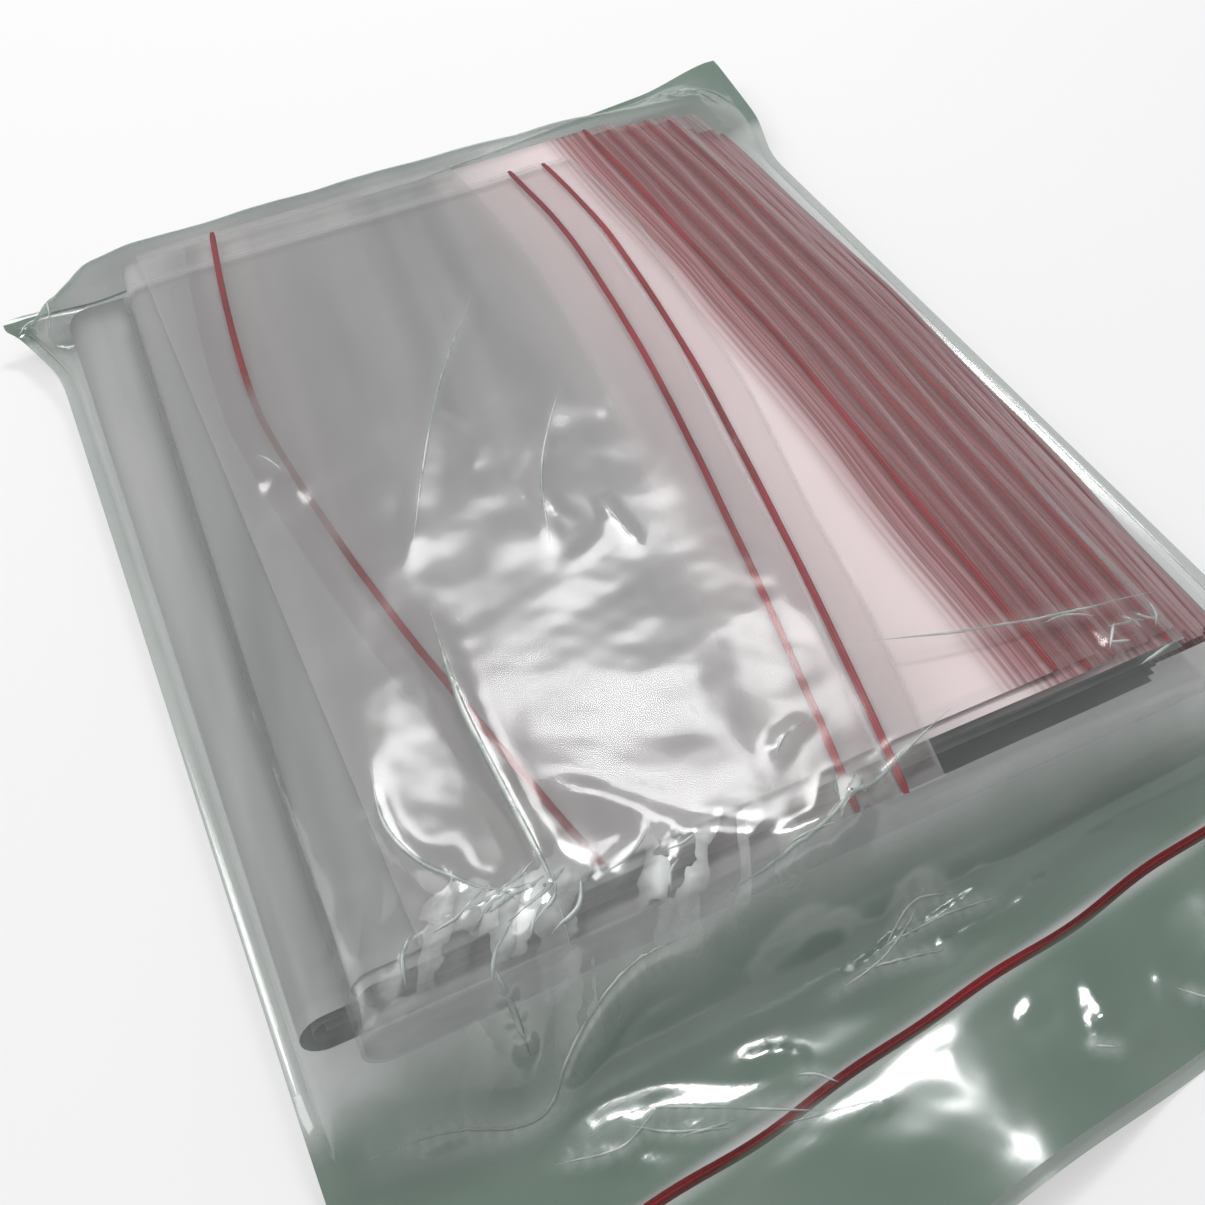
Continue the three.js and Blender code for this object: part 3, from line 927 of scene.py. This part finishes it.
@dataclass(frozen=True)
class Crease:
    """A crease of the outer film: a pinched ridge along a line, with sloping flanks.

    Attributes:
        points: places of the line in X and Y, in mm.
        height: how far the film rises to the ridge, in mm.
        reach: width of each flank, in mm.
        ridge: width of the pinched ridge, in mm.
    """

    points: tuple[tuple[float, float], ...]
    height: float = 0.5
    reach: float = 2.4
    ridge: float = 0.5

    def line(self, step: float = 0.8) -> Array:
        """The line as a smooth curve through the points.

        A cubic in the length along the points, fitted piece by piece, gives X and Y at even steps.

        Args:
            step: distance between places, in mm.

        Returns:
            X and Y of the places.
        """
        corners = np.array(self.points, dtype=float)
        run = np.concatenate(([0.0], np.cumsum(np.linalg.norm(np.diff(corners, axis=0), axis=-1))))
        slope = np.gradient(corners, run, axis=0) if len(corners) > 2 else \
            np.repeat((corners[1:] - corners[:1]) / run[-1], 2, axis=0)
        along = np.linspace(0.0, run[-1], max(5, int(run[-1] / step)))
        piece = np.clip(np.searchsorted(run, along, side="right") - 1, 0, len(run) - 2)
        span = (run[piece + 1] - run[piece])[:, None]
        t = (along[:, None] - run[piece][:, None]) / span
        start, end = corners[piece], corners[piece + 1]
        return ((2 * t ** 3 - 3 * t ** 2 + 1) * start + (t ** 3 - 2 * t ** 2 + t) * span * slope[piece]
                + (3 * t ** 2 - 2 * t ** 3) * end + (t ** 3 - t ** 2) * span * slope[piece + 1])

    def rise(self, x: Array, y: Array) -> Array:
        """A tent over the line: 1 on it, falling evenly to 0 at the reach, lower towards its ends.

        Args:
            x: places along X, in mm.
            y: places along Y, in mm.

        Returns:
            The tent's height at those places, from 0 to 1.
        """
        line = self.line(1.6)
        tent = np.zeros(x.shape)
        share = np.linspace(0.0, 1.0, len(line))
        fade = smooth_step(np.minimum(share, 1.0 - share), -0.08, 0.2)
        low, high = line.min(axis=0) - self.reach, line.max(axis=0) + self.reach
        near = (x > low[0]) & (x < high[0]) & (y > low[1]) & (y < high[1])
        gap = np.hypot(x[near][:, None] - line[:, 0], y[near][:, None] - line[:, 1])
        tent[near] = (np.clip(1.0 - gap / self.reach, 0.0, 1.0) * fade).max(axis=-1, initial=0.0)
        return tent


@dataclass(frozen=True)
class Crumple:
    """A patch of short creases, drawn at random about a place.

    Attributes:
        seed: seed of the random draws.
        middle: place of the patch in X and Y, in mm.
        spread: its half sizes along X and Y, in mm.
        count: how many creases it has.
        lengths: shortest and longest crease, in mm.
        heading: the angle that the creases favour, in radians.
        turn: how far they may turn from it, in radians.
        height: how far the film rises to a ridge, in mm.
        ridge: about how wide a pinched ridge is, in mm.
        reach: width of each flank, in mm.
        flake_highlights: whether the film between the creases shows white facets as painted highlights.
    """

    seed: int
    middle: tuple[float, float]
    spread: tuple[float, float]
    count: int
    lengths: tuple[float, float] = (3.0, 9.0)
    heading: float = 0.0
    turn: float = np.pi
    height: float = 0.45
    ridge: float = 0.4
    reach: float = 1.8
    flake_highlights: bool = False

    def presence(self, x: Array, y: Array) -> Array:
        """How much of the patch there is at a place: exp(-d^2), d counted in its half sizes."""
        gap_x, gap_y = (x - self.middle[0]) / self.spread[0], (y - self.middle[1]) / self.spread[1]
        return np.exp(-gap_x ** 2 - gap_y ** 2)

    def creases(self) -> list[Crease]:
        """The creases of the patch, each with one bend."""
        draw = np.random.default_rng(self.seed)
        made = []
        for _ in range(self.count):
            middle = np.array(self.middle) + np.array(self.spread) * draw.normal(0.0, 0.5, 2)
            angle = self.heading + draw.uniform(-self.turn, self.turn)
            run = np.array([np.cos(angle), np.sin(angle)]) * draw.uniform(*self.lengths) / 2.0
            bend = np.array([-run[1], run[0]]) * draw.uniform(-0.35, 0.35)
            ends = (middle - run, middle + bend, middle + run)
            made.append(Crease(tuple(map(tuple, ends)), self.height * draw.uniform(0.5, 1.2),
                               self.reach, self.ridge * draw.uniform(0.4, 1.5)))
        return made


@dataclass(frozen=True)
class FilmCreases:
    """Every crease of the outer film: the long ones by name, and the crumpled patches."""

    long_fold: Crease = Crease(((-34, -10), (-36, -27), (-36, -43), (-36, -59), (-37, -67)), 0.7, 3.0, 1.0)
    near_curl: Crease = Crease(((-50, -33), (-51, -43), (-48, -51), (-42, -58), (-39, -63)), 0.6, 2.6, 0.7)
    near_tuck: Crease = Crease(((-46, -67), (-45, -73)), 1.0, 2.0, 0.9)
    middle_flake: Crease = Crease(((-31, -45), (-26, -50), (-18, -59), (-9, -65)), 0.4, 3.0, 0.35)
    right_fold: Crease = Crease(((-21, -68), (-2, -65), (20, -56)), 0.6, 2.6, 0.75)
    hook: Crease = Crease(((-4, -54), (-1, -51), (3, -50)), 0.5, 2.0, 0.6)
    far_curve: Crease = Crease(((-2, 60), (-15, 39), (-26, 17), (-33, 1)), 0.35, 2.6, 0.45)
    middle_curve: Crease = Crease(((1, 28), (-9, 11), (-15, -8)), 0.35, 2.6, 0.45)
    short_curve: Crease = Crease(((-4, 1), (-3, -11)), 0.35, 2.0, 0.42)
    right_line: Crease = Crease(((58, -48), (43, -47), (26, -44), (15, -41)), 0.35, 2.6, 0.5)
    tail_fold: Crease = Crease(((-66, -75), (-56, -76), (-45, -77), (-41, -74), (-32, -70), (-21, -69)),
                               0.8, 2.6, 0.6)
    tail_line: Crease = Crease(((48, -70), (21, -71), (-2, -73), (-22, -75)), 0.6, 3.0, 0.4)
    tail_streak: Crease = Crease(((-4, -76), (3, -77), (9, -78)), 0.6, 2.4, 0.5)
    tail_shine: Crease = Crease(((-44, -82), (-36, -81), (-26, -85), (-14, -91)), 0.6, 3.0, 0.5)
    patches: tuple[Crumple, ...] = (
        # The first three patches, whose last value is True, show painted flake highlights.
        Crumple(1, (-44.0, -61.0), (14.0, 9.0), 12, (5.0, 12.0), 0.9, 0.7, 0.9, 0.5, 3.0, True),
        Crumple(2, (0.0, -63.0), (6.0, 4.0), 7, (3.0, 8.0), 0.6, 1.0, 0.7, 0.5, 2.6, True),
        Crumple(12, (-20.0, -63.0), (14.0, 5.0), 4, (4.0, 10.0), 0.5, 0.6, 0.6, 0.45, 3.0, True),
        Crumple(3, (-48.0, 29.0), (3.0, 5.0), 5, (3.0, 7.0)),
        Crumple(4, (50.0, -54.0), (9.0, 5.0), 12, (3.0, 8.0)),
        Crumple(5, (10.0, -75.0), (26.0, 3.0), 12, (8.0, 26.0), 0.12, 0.25, 0.5, 0.3),
        Crumple(6, (-30.0, -88.0), (22.0, 6.0), 12, (5.0, 16.0), -0.2, 0.5, 0.5, 0.35),
        Crumple(7, (20.0, -94.0), (24.0, 5.0), 10, (3.0, 9.0), 0.3, 0.9, 0.4, 0.35),
        Crumple(8, (-72.0, 104.0), (5.0, 7.0), 12, (4.0, 12.0), 0.8, 0.7, 0.5, 0.35),
        Crumple(9, (64.0, 118.0), (6.0, 6.0), 12, (4.0, 12.0), 2.0, 0.7, 0.5, 0.35),
        Crumple(10, (10.0, 20.0), (38.0, 45.0), 14, (6.0, 18.0), 1.2, 0.7, 0.25, 0.2),
    )

    def crumpled(self, points: Array) -> Array:
        """How much flaked film, with its painted highlights, there is at each place, from 0 to 1."""
        patches = [patch for patch in self.patches if patch.flake_highlights]
        return np.max([patch.presence(points[..., 0], points[..., 1]) for patch in patches], axis=0)

    def all(self) -> list[Crease]:
        """The named creases and those of the patches, in one list."""
        named = [value for value in vars(self).values() if isinstance(value, Crease)]
        return named + [crease for patch in self.patches for crease in patch.creases()]


@dataclass(frozen=True)
class OuterBag:
    """The outer bag: two film panels welded along both sides and the bottom, and its red zip.

    The section across the pack is the taut line around the bundles' corners. From the mouth the panels
    lie flat, pass over the zip, climb the pack's near end, follow the pack and come together at the
    bottom weld, which is skewed and has an ear at each end.
    """

    bags: tuple[FoldedBag, ...]
    loose: LooseBag
    creases: FilmCreases = FilmCreases()
    weld: float = 2.0
    mouth_lip: float = 22.0
    lower_lip_extra: float = 1.5
    skew: float = 0.135
    short_tail: float = 10.0
    wall_foot_share: float = 0.4
    short_bottom: float = 2.0
    bottom_z: float = 4.0
    ear: float = 7.0
    ear_lift: float = 2.0
    ear_ease: float = 16.0
    flare: float = 0.7
    mouth_ripple: float = 3.0
    ripple_length: float = 48.0
    zip_inset: float = 10.0
    track_width: float = 1.8
    track_height: float = 0.85
    rib_width: float = 0.9
    rib_height: float = 0.4
    columns: int = 188
    lower_columns: int = 70
    tangents: int = 72
    side_ease: float = 5.0
    low_veil: float = 0.68
    top_veil: float = 0.14
    zip_veil: float = 0.10
    flank_cover: float = 0.55
    least_ridge: float = 0.42
    ridge_rise: float = 0.38
    ridge_sink: float = 0.05
    ridge_search: float = 6.0
    # How white the film is painted at creases and how much more it hides there: stress whitening together
    # with a painted highlight.
    white_and_glint_at_creases: float = 0.35
    white_and_glint_veil: float = 0.3
    deepest_dent: float = 0.3
    top_height: tuple[float, float] = (4.0, 13.0)
    far_ease: float = 5.0
    # How the film turns to the dark low colour before the pack's near end: painted shade on the near wall.
    near_shade_and_tint_ease: tuple[float, float] = (-5.0, 1.0)
    row_counts: tuple[int, ...] = (24, 6, 16, 26, 62, 74, 12, 18, 3)
    smoothing: int = 7
    lower_fineness: float = 0.4
    panel_offset: float = 0.03
    waves: tuple[Waves, ...] = (Waves(31, 7, 16.0, 42.0, 0.22), Waves(32, 8, 7.0, 15.0, 0.07),
                                Waves(33, 9, 3.5, 6.5, 0.018))
    zip_wave: float = 0.45
    zip_steps: int = 150
    bend_lengths: tuple[float, float] = (31.0, 113.0)

    @cached_property
    def right_x(self) -> float:
        """Place of the right weld along X."""
        return float(self.taut_chain(1.0, 2)[-1, 0])

    @cached_property
    def left_x(self) -> float:
        """Place of the left weld along X."""
        return float(self.taut_chain(1.0, 2)[0, 0])

    @property
    def mouth_gap(self) -> float:
        """Gap between the panels at the zip."""
        return self.track_height + 2.0 * PACK.bag_gap

    def taut_chain(self, sign: float, count: int) -> Array:
        """Half of the taut section, from the left weld to the right one, at even lengths.

        The film's tangent at each angle is as far out as the furthest corner and its clearance, and
        the points of the section are where neighbouring tangents meet.

        Args:
            sign: 1 for the upper half and -1 for the lower one.
            count: how many points are wanted.

        Returns:
            X and Z of the points, in mm.
        """
        halves = []
        for way in (1.0, -1.0):
            angle = np.pi - way * np.linspace(0.0, np.pi, self.tangents + 1)
            normal = np.stack((np.cos(angle), np.sin(angle)), axis=-1)
            reach = (self.corners() @ normal.T).max(axis=0) + PACK.film_clearance + PACK.film / 2.0
            turn = normal[:-1, 0] * normal[1:, 1] - normal[:-1, 1] * normal[1:, 0]
            x = (reach[:-1] * normal[1:, 1] - reach[1:] * normal[:-1, 1]) / turn
            z = (reach[1:] * normal[:-1, 0] - reach[:-1] * normal[1:, 0]) / turn
            halves.append(np.stack((x, z), axis=-1))
        upper, lower = halves
        left, right = (upper[0] + lower[0]) / 2.0, (upper[-1] + lower[-1]) / 2.0
        chain = np.concatenate(([left], upper if sign > 0 else lower, [right]))
        run = np.concatenate(([0.0], np.cumsum(np.linalg.norm(np.diff(chain, axis=0), axis=-1))))
        even = np.linspace(0.0, run[-1], count)
        return np.stack((np.interp(even, run, chain[:, 0]), np.interp(even, run, chain[:, 1])), axis=-1)

    def corners(self) -> Array:
        """Every corner of the bundles' section that the film has to pass around."""
        share = np.linspace(0.0, 1.0, 8)
        return np.concatenate([bag.corners(share) for bag in self.bags] + [self.loose.corners()])

    def wall_top(self, x: Array) -> Array:
        """The line of the pack's near end, along Y."""
        return PACK.near_y + PACK.shear * x

    def zip_line(self, x: Array) -> Array:
        """The line of the zip, along Y."""
        return self.wall_top(x) - self.short_tail - self.skew * (self.right_x - x)

    def panel(self, chain: Array, flat_z: float, shift: float, lip: float) -> Array:
        """One panel on a grid of columns along the section by rows from the mouth to the bottom weld.

        Each row is a line of places over the section's length, and the rows between are spaced evenly
        and smoothed, so that the film turns its edges in small rounds.

        Args:
            chain: X and Z of the section.
            flat_z: height of the panel where it lies flat.
            shift: how far it stands off the other panel in the welds.
            lip: length of the lip in front of the zip.

        Returns:
            The places in mm.
        """
        left, right = chain[0, 0], chain[-1, 0]
        share = np.linspace(0.0, 1.0, len(chain))
        flat_x = lerp(left, right, share)
        from_side = np.minimum(flat_x - left, right - flat_x)
        ease = smooth_step(from_side, 0.0, self.side_ease)
        tail_z = lerp((PACK.film + self.mouth_gap) / 2.0 + PACK.film / 2.0 + shift, flat_z, ease)
        zip_y = self.zip_line(flat_x)
        wave = 0.5 - 0.5 * np.cos(2.0 * np.pi * (flat_x - left) / self.ripple_length)

        def tail(from_zip: float) -> Array:
            """A row that lies flat, lifted by ripples towards the mouth."""
            lift = self.mouth_ripple * wave * np.clip(-from_zip / self.mouth_lip, 0.0, 1.0) ** 1.5
            return np.stack((flat_x, zip_y + from_zip, tail_z + lift), axis=-1)

        def along_pack(part: float, flare: float = 0.0) -> Array:
            """A row around the pack, whose sides flare out towards the ears."""
            y = lerp(self.wall_top(chain[:, 0]), PACK.far_y + PACK.shear * chain[:, 0], part)
            ends = np.where((share == 0.0) | (share == 1.0), shift, 0.0)
            out = flare * np.sign(share - 0.5) * (1.0 - smooth_step(from_side, 0.0, self.ear_ease))
            return np.stack((chain[:, 0] + out, y, chain[:, 1] + ends), axis=-1)

        def bottom(past: float) -> Array:
            """A row of the bottom weld."""
            x = lerp(left - self.ear, right + self.ear, share)
            y = PACK.far_y + PACK.shear * x + self.short_bottom + self.skew * (x - left + self.ear) + past
            from_end = np.minimum(share, 1.0 - share) * (right - left)
            lift = self.ear_lift * (1.0 - smooth_step(from_end, 0.0, self.ear_ease))
            return np.stack((x, y, self.bottom_z + shift + lift), axis=-1)

        foot_y = lerp(self.wall_top(flat_x), zip_y + self.track_width, self.wall_foot_share)
        foot = np.stack((flat_x, foot_y, tail_z), axis=-1)
        rows = [tail(-lip), tail(-self.track_width), tail(self.track_width), foot, along_pack(0.0),
                along_pack(0.3), along_pack(0.91), along_pack(1.0, self.flare * self.ear), bottom(0.0),
                bottom(self.weld)]
        fineness = 1.0 if len(chain) == self.columns else self.lower_fineness
        counts = [max(2, round(count * fineness)) for count in self.row_counts]
        parts = [lerp(start[None], end[None], np.linspace(0.0, 1.0, count, endpoint=False)[:, None, None])
                 for start, end, count in zip(rows, rows[1:], counts)]
        grid = np.concatenate(parts + [rows[-1][None]])
        for _ in range(round(self.smoothing * fineness)):
            grid[1:-1] = (grid[:-2] + 2.0 * grid[1:-1] + grid[2:]) / 4.0
        fins = [np.concatenate((grid[:, column, :1] + way * self.weld, grid[:, column, 1:]), axis=-1)[:, None]
                for column, way in ((0, -1.0), (-1, 1.0))]
        return np.concatenate((fins[0], grid, fins[1]), axis=1).transpose(1, 0, 2)

    def wrinkle(self, points: Array) -> tuple[Array, Array]:
        """Moves a panel's places out along its normals by waves and creases.

        Args:
            points: the panel's places.

        Returns:
            The moved places, and how creased each is, from 0 to 1.
        """
        x, y = points[..., 0], points[..., 1]
        normal = np.cross(np.gradient(points, axis=0), np.gradient(points, axis=1))
        normal /= np.maximum(np.linalg.norm(normal, axis=-1, keepdims=True), 1e-9)
        columns, rows = x.shape
        inward = np.minimum(np.arange(columns), np.arange(columns)[::-1])[:, None]
        outward = np.minimum(np.arange(rows), np.arange(rows)[::-1])[None, :]
        ease = smooth_step(inward * 1.0, 1.0, 8.0) * smooth_step(outward * 1.0, 0.0, 6.0)
        from_zip = np.abs(y - self.zip_line(x))
        off_zip = smooth_step(from_zip, 1.2 * self.track_width, 6.0)
        lift = sum(waves.at(x, y) for waves in self.waves)
        crease_white_and_glint = np.zeros(x.shape)
        for crease in self.creases.all():
            rise = crease.rise(x, y)
            lift += crease.height * rise
            # Wider ridges also turn the film white: stress whitening together with a painted highlight.
            if crease.ridge >= self.least_ridge:
                crease_white_and_glint = np.maximum(crease_white_and_glint, self.white_and_glint_at_creases * rise)
        moved = points + normal * (np.maximum(lift, -self.deepest_dent) * ease * off_zip)[..., None]
        return settle(moved), crease_white_and_glint * ease

    def cover(self, points: Array) -> Array:
        """1 where the film lies on the bundles and 0 where it hangs free, by height and by the far and near
        ends. In front of the near end it falls to 0, so the wall below the pack's near edge takes the dark
        low colour as painted shade.
        """
        to_far_end = PACK.far_y + PACK.shear * points[..., 0] - points[..., 1]
        to_near_end = points[..., 1] - self.wall_top(points[..., 0])
        on_top = lerp(self.flank_cover, 1.0, smooth_step(points[..., 2], *self.top_height))
        # Before the near end the cover falls to 0: painted shade on the near wall, and the green of the tail.
        near_end_shade_and_tint = smooth_step(to_near_end, *self.near_shade_and_tint_ease)
        return on_top * smooth_step(to_far_end, 0.0, self.far_ease) * near_end_shade_and_tint

    def veil(self, points: Array, crease_white_and_glint: Array) -> Array:
        """How much one face of the film hides: more where it hangs free and where its creases are painted
        white with a glint, least by the zip.
        """
        by_cover = lerp(self.low_veil, self.top_veil, self.cover(points))
        from_zip = np.abs(points[..., 1] - self.zip_line(points[..., 0]))
        past_end = np.abs(points[..., 0] - (self.left_x + self.right_x) / 2.0) \
            - (self.right_x - self.left_x) / 2.0 + self.zip_inset
        off_zip = np.maximum(smooth_step(from_zip, 0.5 * self.track_width, 0.9 * self.track_width),
                             smooth_step(past_end, 0.0, 1.5))
        by_zip = lerp(self.zip_veil, by_cover, off_zip)
        return by_zip + self.white_and_glint_veil * crease_white_and_glint

    def crease_ridges(self, points: Array) -> tuple[Array, list[list[int]]]:
        """The pinched ridges of all creases, on the film's places.

        Each ridge is a low four-sided strip along its crease, tapered to both ends. Its height at a
        place is that of the film's four nearest places, weighted by how near they are.

        Args:
            points: the upper panel's places.

        Returns:
            The vertices in mm and the faces.
        """
        film = points.reshape(-1, 3)
        vertices, faces, first = [], [], 0
        for crease in self.creases.all():
            if crease.ridge < self.least_ridge:
                continue
            line = crease.line()
            beside = np.abs(film[:, :2] - line.mean(axis=0)) < np.ptp(line, axis=0) / 2.0 + self.ridge_search
            close = film[beside.all(axis=-1)]
            if len(close) < 8:
                continue
            gap = np.linalg.norm(line[:, None] - close[None, :, :2], axis=-1)
            four = np.argpartition(gap, 4, axis=-1)[:, :4]
            weight = 1.0 / (np.take_along_axis(gap, four, axis=-1) + 0.05)
            height = (close[four, 2] * weight).sum(axis=-1) / weight.sum(axis=-1)
            path = np.concatenate((line, height[:, None]), axis=-1)
            share = np.linspace(0.0, 1.0, len(path))
            taper = np.maximum(smooth_step(np.minimum(share, 1.0 - share), 0.0, 0.3), 0.06)
            half = crease.ridge / 2.0
            top, foot = self.ridge_rise * crease.ridge, -self.ridge_sink
            profile = np.array([[half, foot], [0.0, top], [-half, foot], [0.0, 2.0 * foot]])
            strip, sides = sweep(path, across(path), profile, taper)
            vertices.append(strip)
            faces += [[corner + first for corner in side] for side in sides]
            first += len(strip)
        return np.concatenate(vertices), faces

    def zip_path(self, left: float, right: float, foot_z: float) -> Array:
        """The zip's line across the mouth end, with slight bends."""
        x = np.linspace(left + self.zip_inset, right - self.zip_inset, self.zip_steps)
        short, long = self.bend_lengths
        bends = self.zip_wave * np.sin(2.0 * np.pi * x / short) * np.sin(2.0 * np.pi * x / long)
        return np.stack((x, self.zip_line(x) + bends, np.full_like(x, foot_z)), axis=-1)

    def build(self, finish: bpy.types.Material, white_and_glint_finish: bpy.types.Material,
              zip_finish: bpy.types.Material) -> None:
        """Makes both panels, the pinched ridges and the zip.

        Args:
            finish: the material of the film.
            white_and_glint_finish: the material of the ridges, nearly white with a painted highlight.
            zip_finish: the material of the zip.
        """
        upper_chain = self.taut_chain(1.0, self.columns)
        lower_chain = self.taut_chain(-1.0, self.lower_columns)
        upper_z, lower_z = PACK.film + self.mouth_gap + PACK.film / 2.0, PACK.film / 2.0
        lower_lip = self.mouth_lip + self.lower_lip_extra
        upper = self.panel(upper_chain, upper_z, self.panel_offset, self.mouth_lip)
        lower = self.panel(lower_chain, lower_z, -self.panel_offset, lower_lip)
        upper, crease_white_and_glint = self.wrinkle(upper)
        # The top panel carries the painted white and glint of its creases; the lower panel carries none.
        for name, points, white_and_glint_marks in (("outer_bag_top_film", upper, crease_white_and_glint),
                                    ("outer_bag_base_film", lower, np.zeros(lower.shape[:2]))):
            faces = grid_faces(*points.shape[:2])
            # Where the top panel shows painted flake highlights; the lower panel shows none.
            crumpled = self.creases.crumpled(points) if points is upper else white_and_glint_marks
            numbers = {"veil": self.veil(points, white_and_glint_marks), "crease": white_and_glint_marks, "cover": self.cover(points),
                       "crumple": crumpled}
            panel = object_from(name, points.reshape(-1, 3), faces if points is upper else faces[:, ::-1],
                                numbers=numbers)
            dress(panel, finish, "outer_bag")
            log.info("%s: %d places", name, points.shape[0] * points.shape[1])
        vertices, faces = self.crease_ridges(upper)
        ridges = object_from("outer_bag_creases", vertices, faces)
        dress(ridges, white_and_glint_finish)
        log.info("outer_bag_creases: %d places", len(vertices))
        left, right = float(upper_chain[0, 0]), float(upper_chain[-1, 0])
        foot_z = PACK.film + PACK.bag_gap
        track = ZipStrip(ZIP_SEEN * self.track_width, self.track_height).piece(
            "outer_zip_track", self.zip_path(left, right, foot_z), zip_finish)
        rib = ZipStrip(self.rib_width, self.rib_height).piece(
            "outer_zip_rib", self.zip_path(left, right, foot_z), zip_finish)


@dataclass(frozen=True)
class Studio:
    """The floor, the soft light and the camera."""

    floor_half: float = 3.0
    camera_place: tuple[float, float, float] = (-65.8, -163.8, 173.6)
    camera_right: tuple[float, float, float] = (0.91615143, -0.39724859, -0.05348003)
    camera_up: tuple[float, float, float] = (0.31714409, 0.63679771, 0.7027861)
    lens: float = 47.74
    key_place: tuple[float, float, float] = (144.0, 390.0, 547.0)
    key_aim: tuple[float, float, float] = (-18.0, -38.0, 18.0)
    key_size: tuple[float, float] = (0.2, 0.12)
    key_power: float = 1.6
    fill_place: tuple[float, float, float] = (-850.0, 450.0, 1100.0)
    fill_size: tuple[float, float] = (0.9, 0.9)
    fill_power: float = 9.0
    world_strength: float = 0.45
    light_bounces: int = 4
    see_through: int = 32
    noise_left: float = 0.04

    def turned(self, place: Sequence[float], right: Array, up: Array) -> Matrix:
        """A matrix that stands at a place in mm and looks away from right cross up."""
        back = np.cross(right, up)
        rows = [[*map(float, axes), place[row] * MM] for row, axes in enumerate(zip(right, up, back))]
        return Matrix(rows + [[0.0, 0.0, 0.0, 1.0]])

    def build(self) -> None:
        """Makes the floor, a key light that the film mirrors, a fill, the world and the camera."""
        scene = bpy.context.scene
        scene.view_settings.view_transform = "Standard"
        scene.cycles.transparent_max_bounces = self.see_through
        scene.cycles.max_bounces = self.light_bounces
        scene.cycles.use_adaptive_sampling = True
        scene.cycles.adaptive_threshold = self.noise_left
        self.make_floor()
        self.make_light("key", self.key_place, self.key_size, self.key_power)
        self.make_light("fill", self.fill_place, self.fill_size, self.fill_power)
        self.make_world()
        self.make_camera()

    def make_floor(self) -> None:
        """A level square under the pack."""
        half = self.floor_half / MM
        corners = np.array([[-half, -half, 0.0], [half, -half, 0.0], [half, half, 0.0], [-half, half, 0.0]])
        floor = object_from("floor", corners, [[0, 1, 2, 3]])
        floor.data.materials.append(FloorFinish().material())

    def make_light(self, name: str, place: Sequence[float], size: tuple[float, float], power: float) -> None:
        """A soft box that is aimed at the pack.

        Args:
            name: name of the light.
            place: its place in mm.
            size: its width and height in metres.
            power: its power in watts.
        """
        lamp = bpy.data.lights.new(name, "AREA")
        lamp.shape = "RECTANGLE"
        lamp.size, lamp.size_y = size
        lamp.energy = power
        box = bpy.data.objects.new(name, lamp)
        back = np.array(place) - np.array(self.key_aim)
        back /= np.linalg.norm(back)
        right = np.cross((0.0, 0.0, 1.0), back)
        right /= np.linalg.norm(right)
        box.matrix_world = self.turned(place, right, np.cross(back, right))
        bpy.context.scene.collection.objects.link(box)

    def make_world(self) -> None:
        """An even pale surrounding."""
        world = bpy.data.worlds.new("surrounding")
        graph = Graph(world)
        light = graph.node("ShaderNodeBackground", {},
                           {"Color": (1.0, 1.0, 1.0, 1.0), "Strength": self.world_strength})
        graph.node("ShaderNodeOutputWorld", {}, {"Surface": light})
        bpy.context.scene.world = world

    def make_camera(self) -> None:
        """The camera at the photograph's place."""
        lens = bpy.data.cameras.new("camera")
        lens.lens = self.lens
        lens.clip_start = 0.005
        camera = bpy.data.objects.new("camera", lens)
        right, up = np.array(self.camera_right), np.array(self.camera_up)
        camera.matrix_world = self.turned(self.camera_place, right, up)
        bpy.context.scene.collection.objects.link(camera)
        bpy.context.scene.camera = camera


def main() -> None:
    """Builds the studio, the bags and the outer bag."""
    logging.basicConfig(level=logging.INFO, format="%(name)s: %(message)s")
    Studio().build()
    films = {depth: depth.value.material() for depth in Depth}
    red = ZipFinish().material()
    bags = tuple(FoldedBag(bundle, order) for bundle in Bundle for order in range(PACK.bags))
    for bag in bags:
        bag.build(films, red)
    loose = LooseBag(bags[0])
    loose.build(films[Depth.TOP], ZipFinish(name="loose_zip", fades=True).material())
    OuterBag(bags, loose).build(OuterFilmFinish().material(), CreaseWhiteAndGlintFinish().material(), red)


if __name__ == "__main__":
    main()
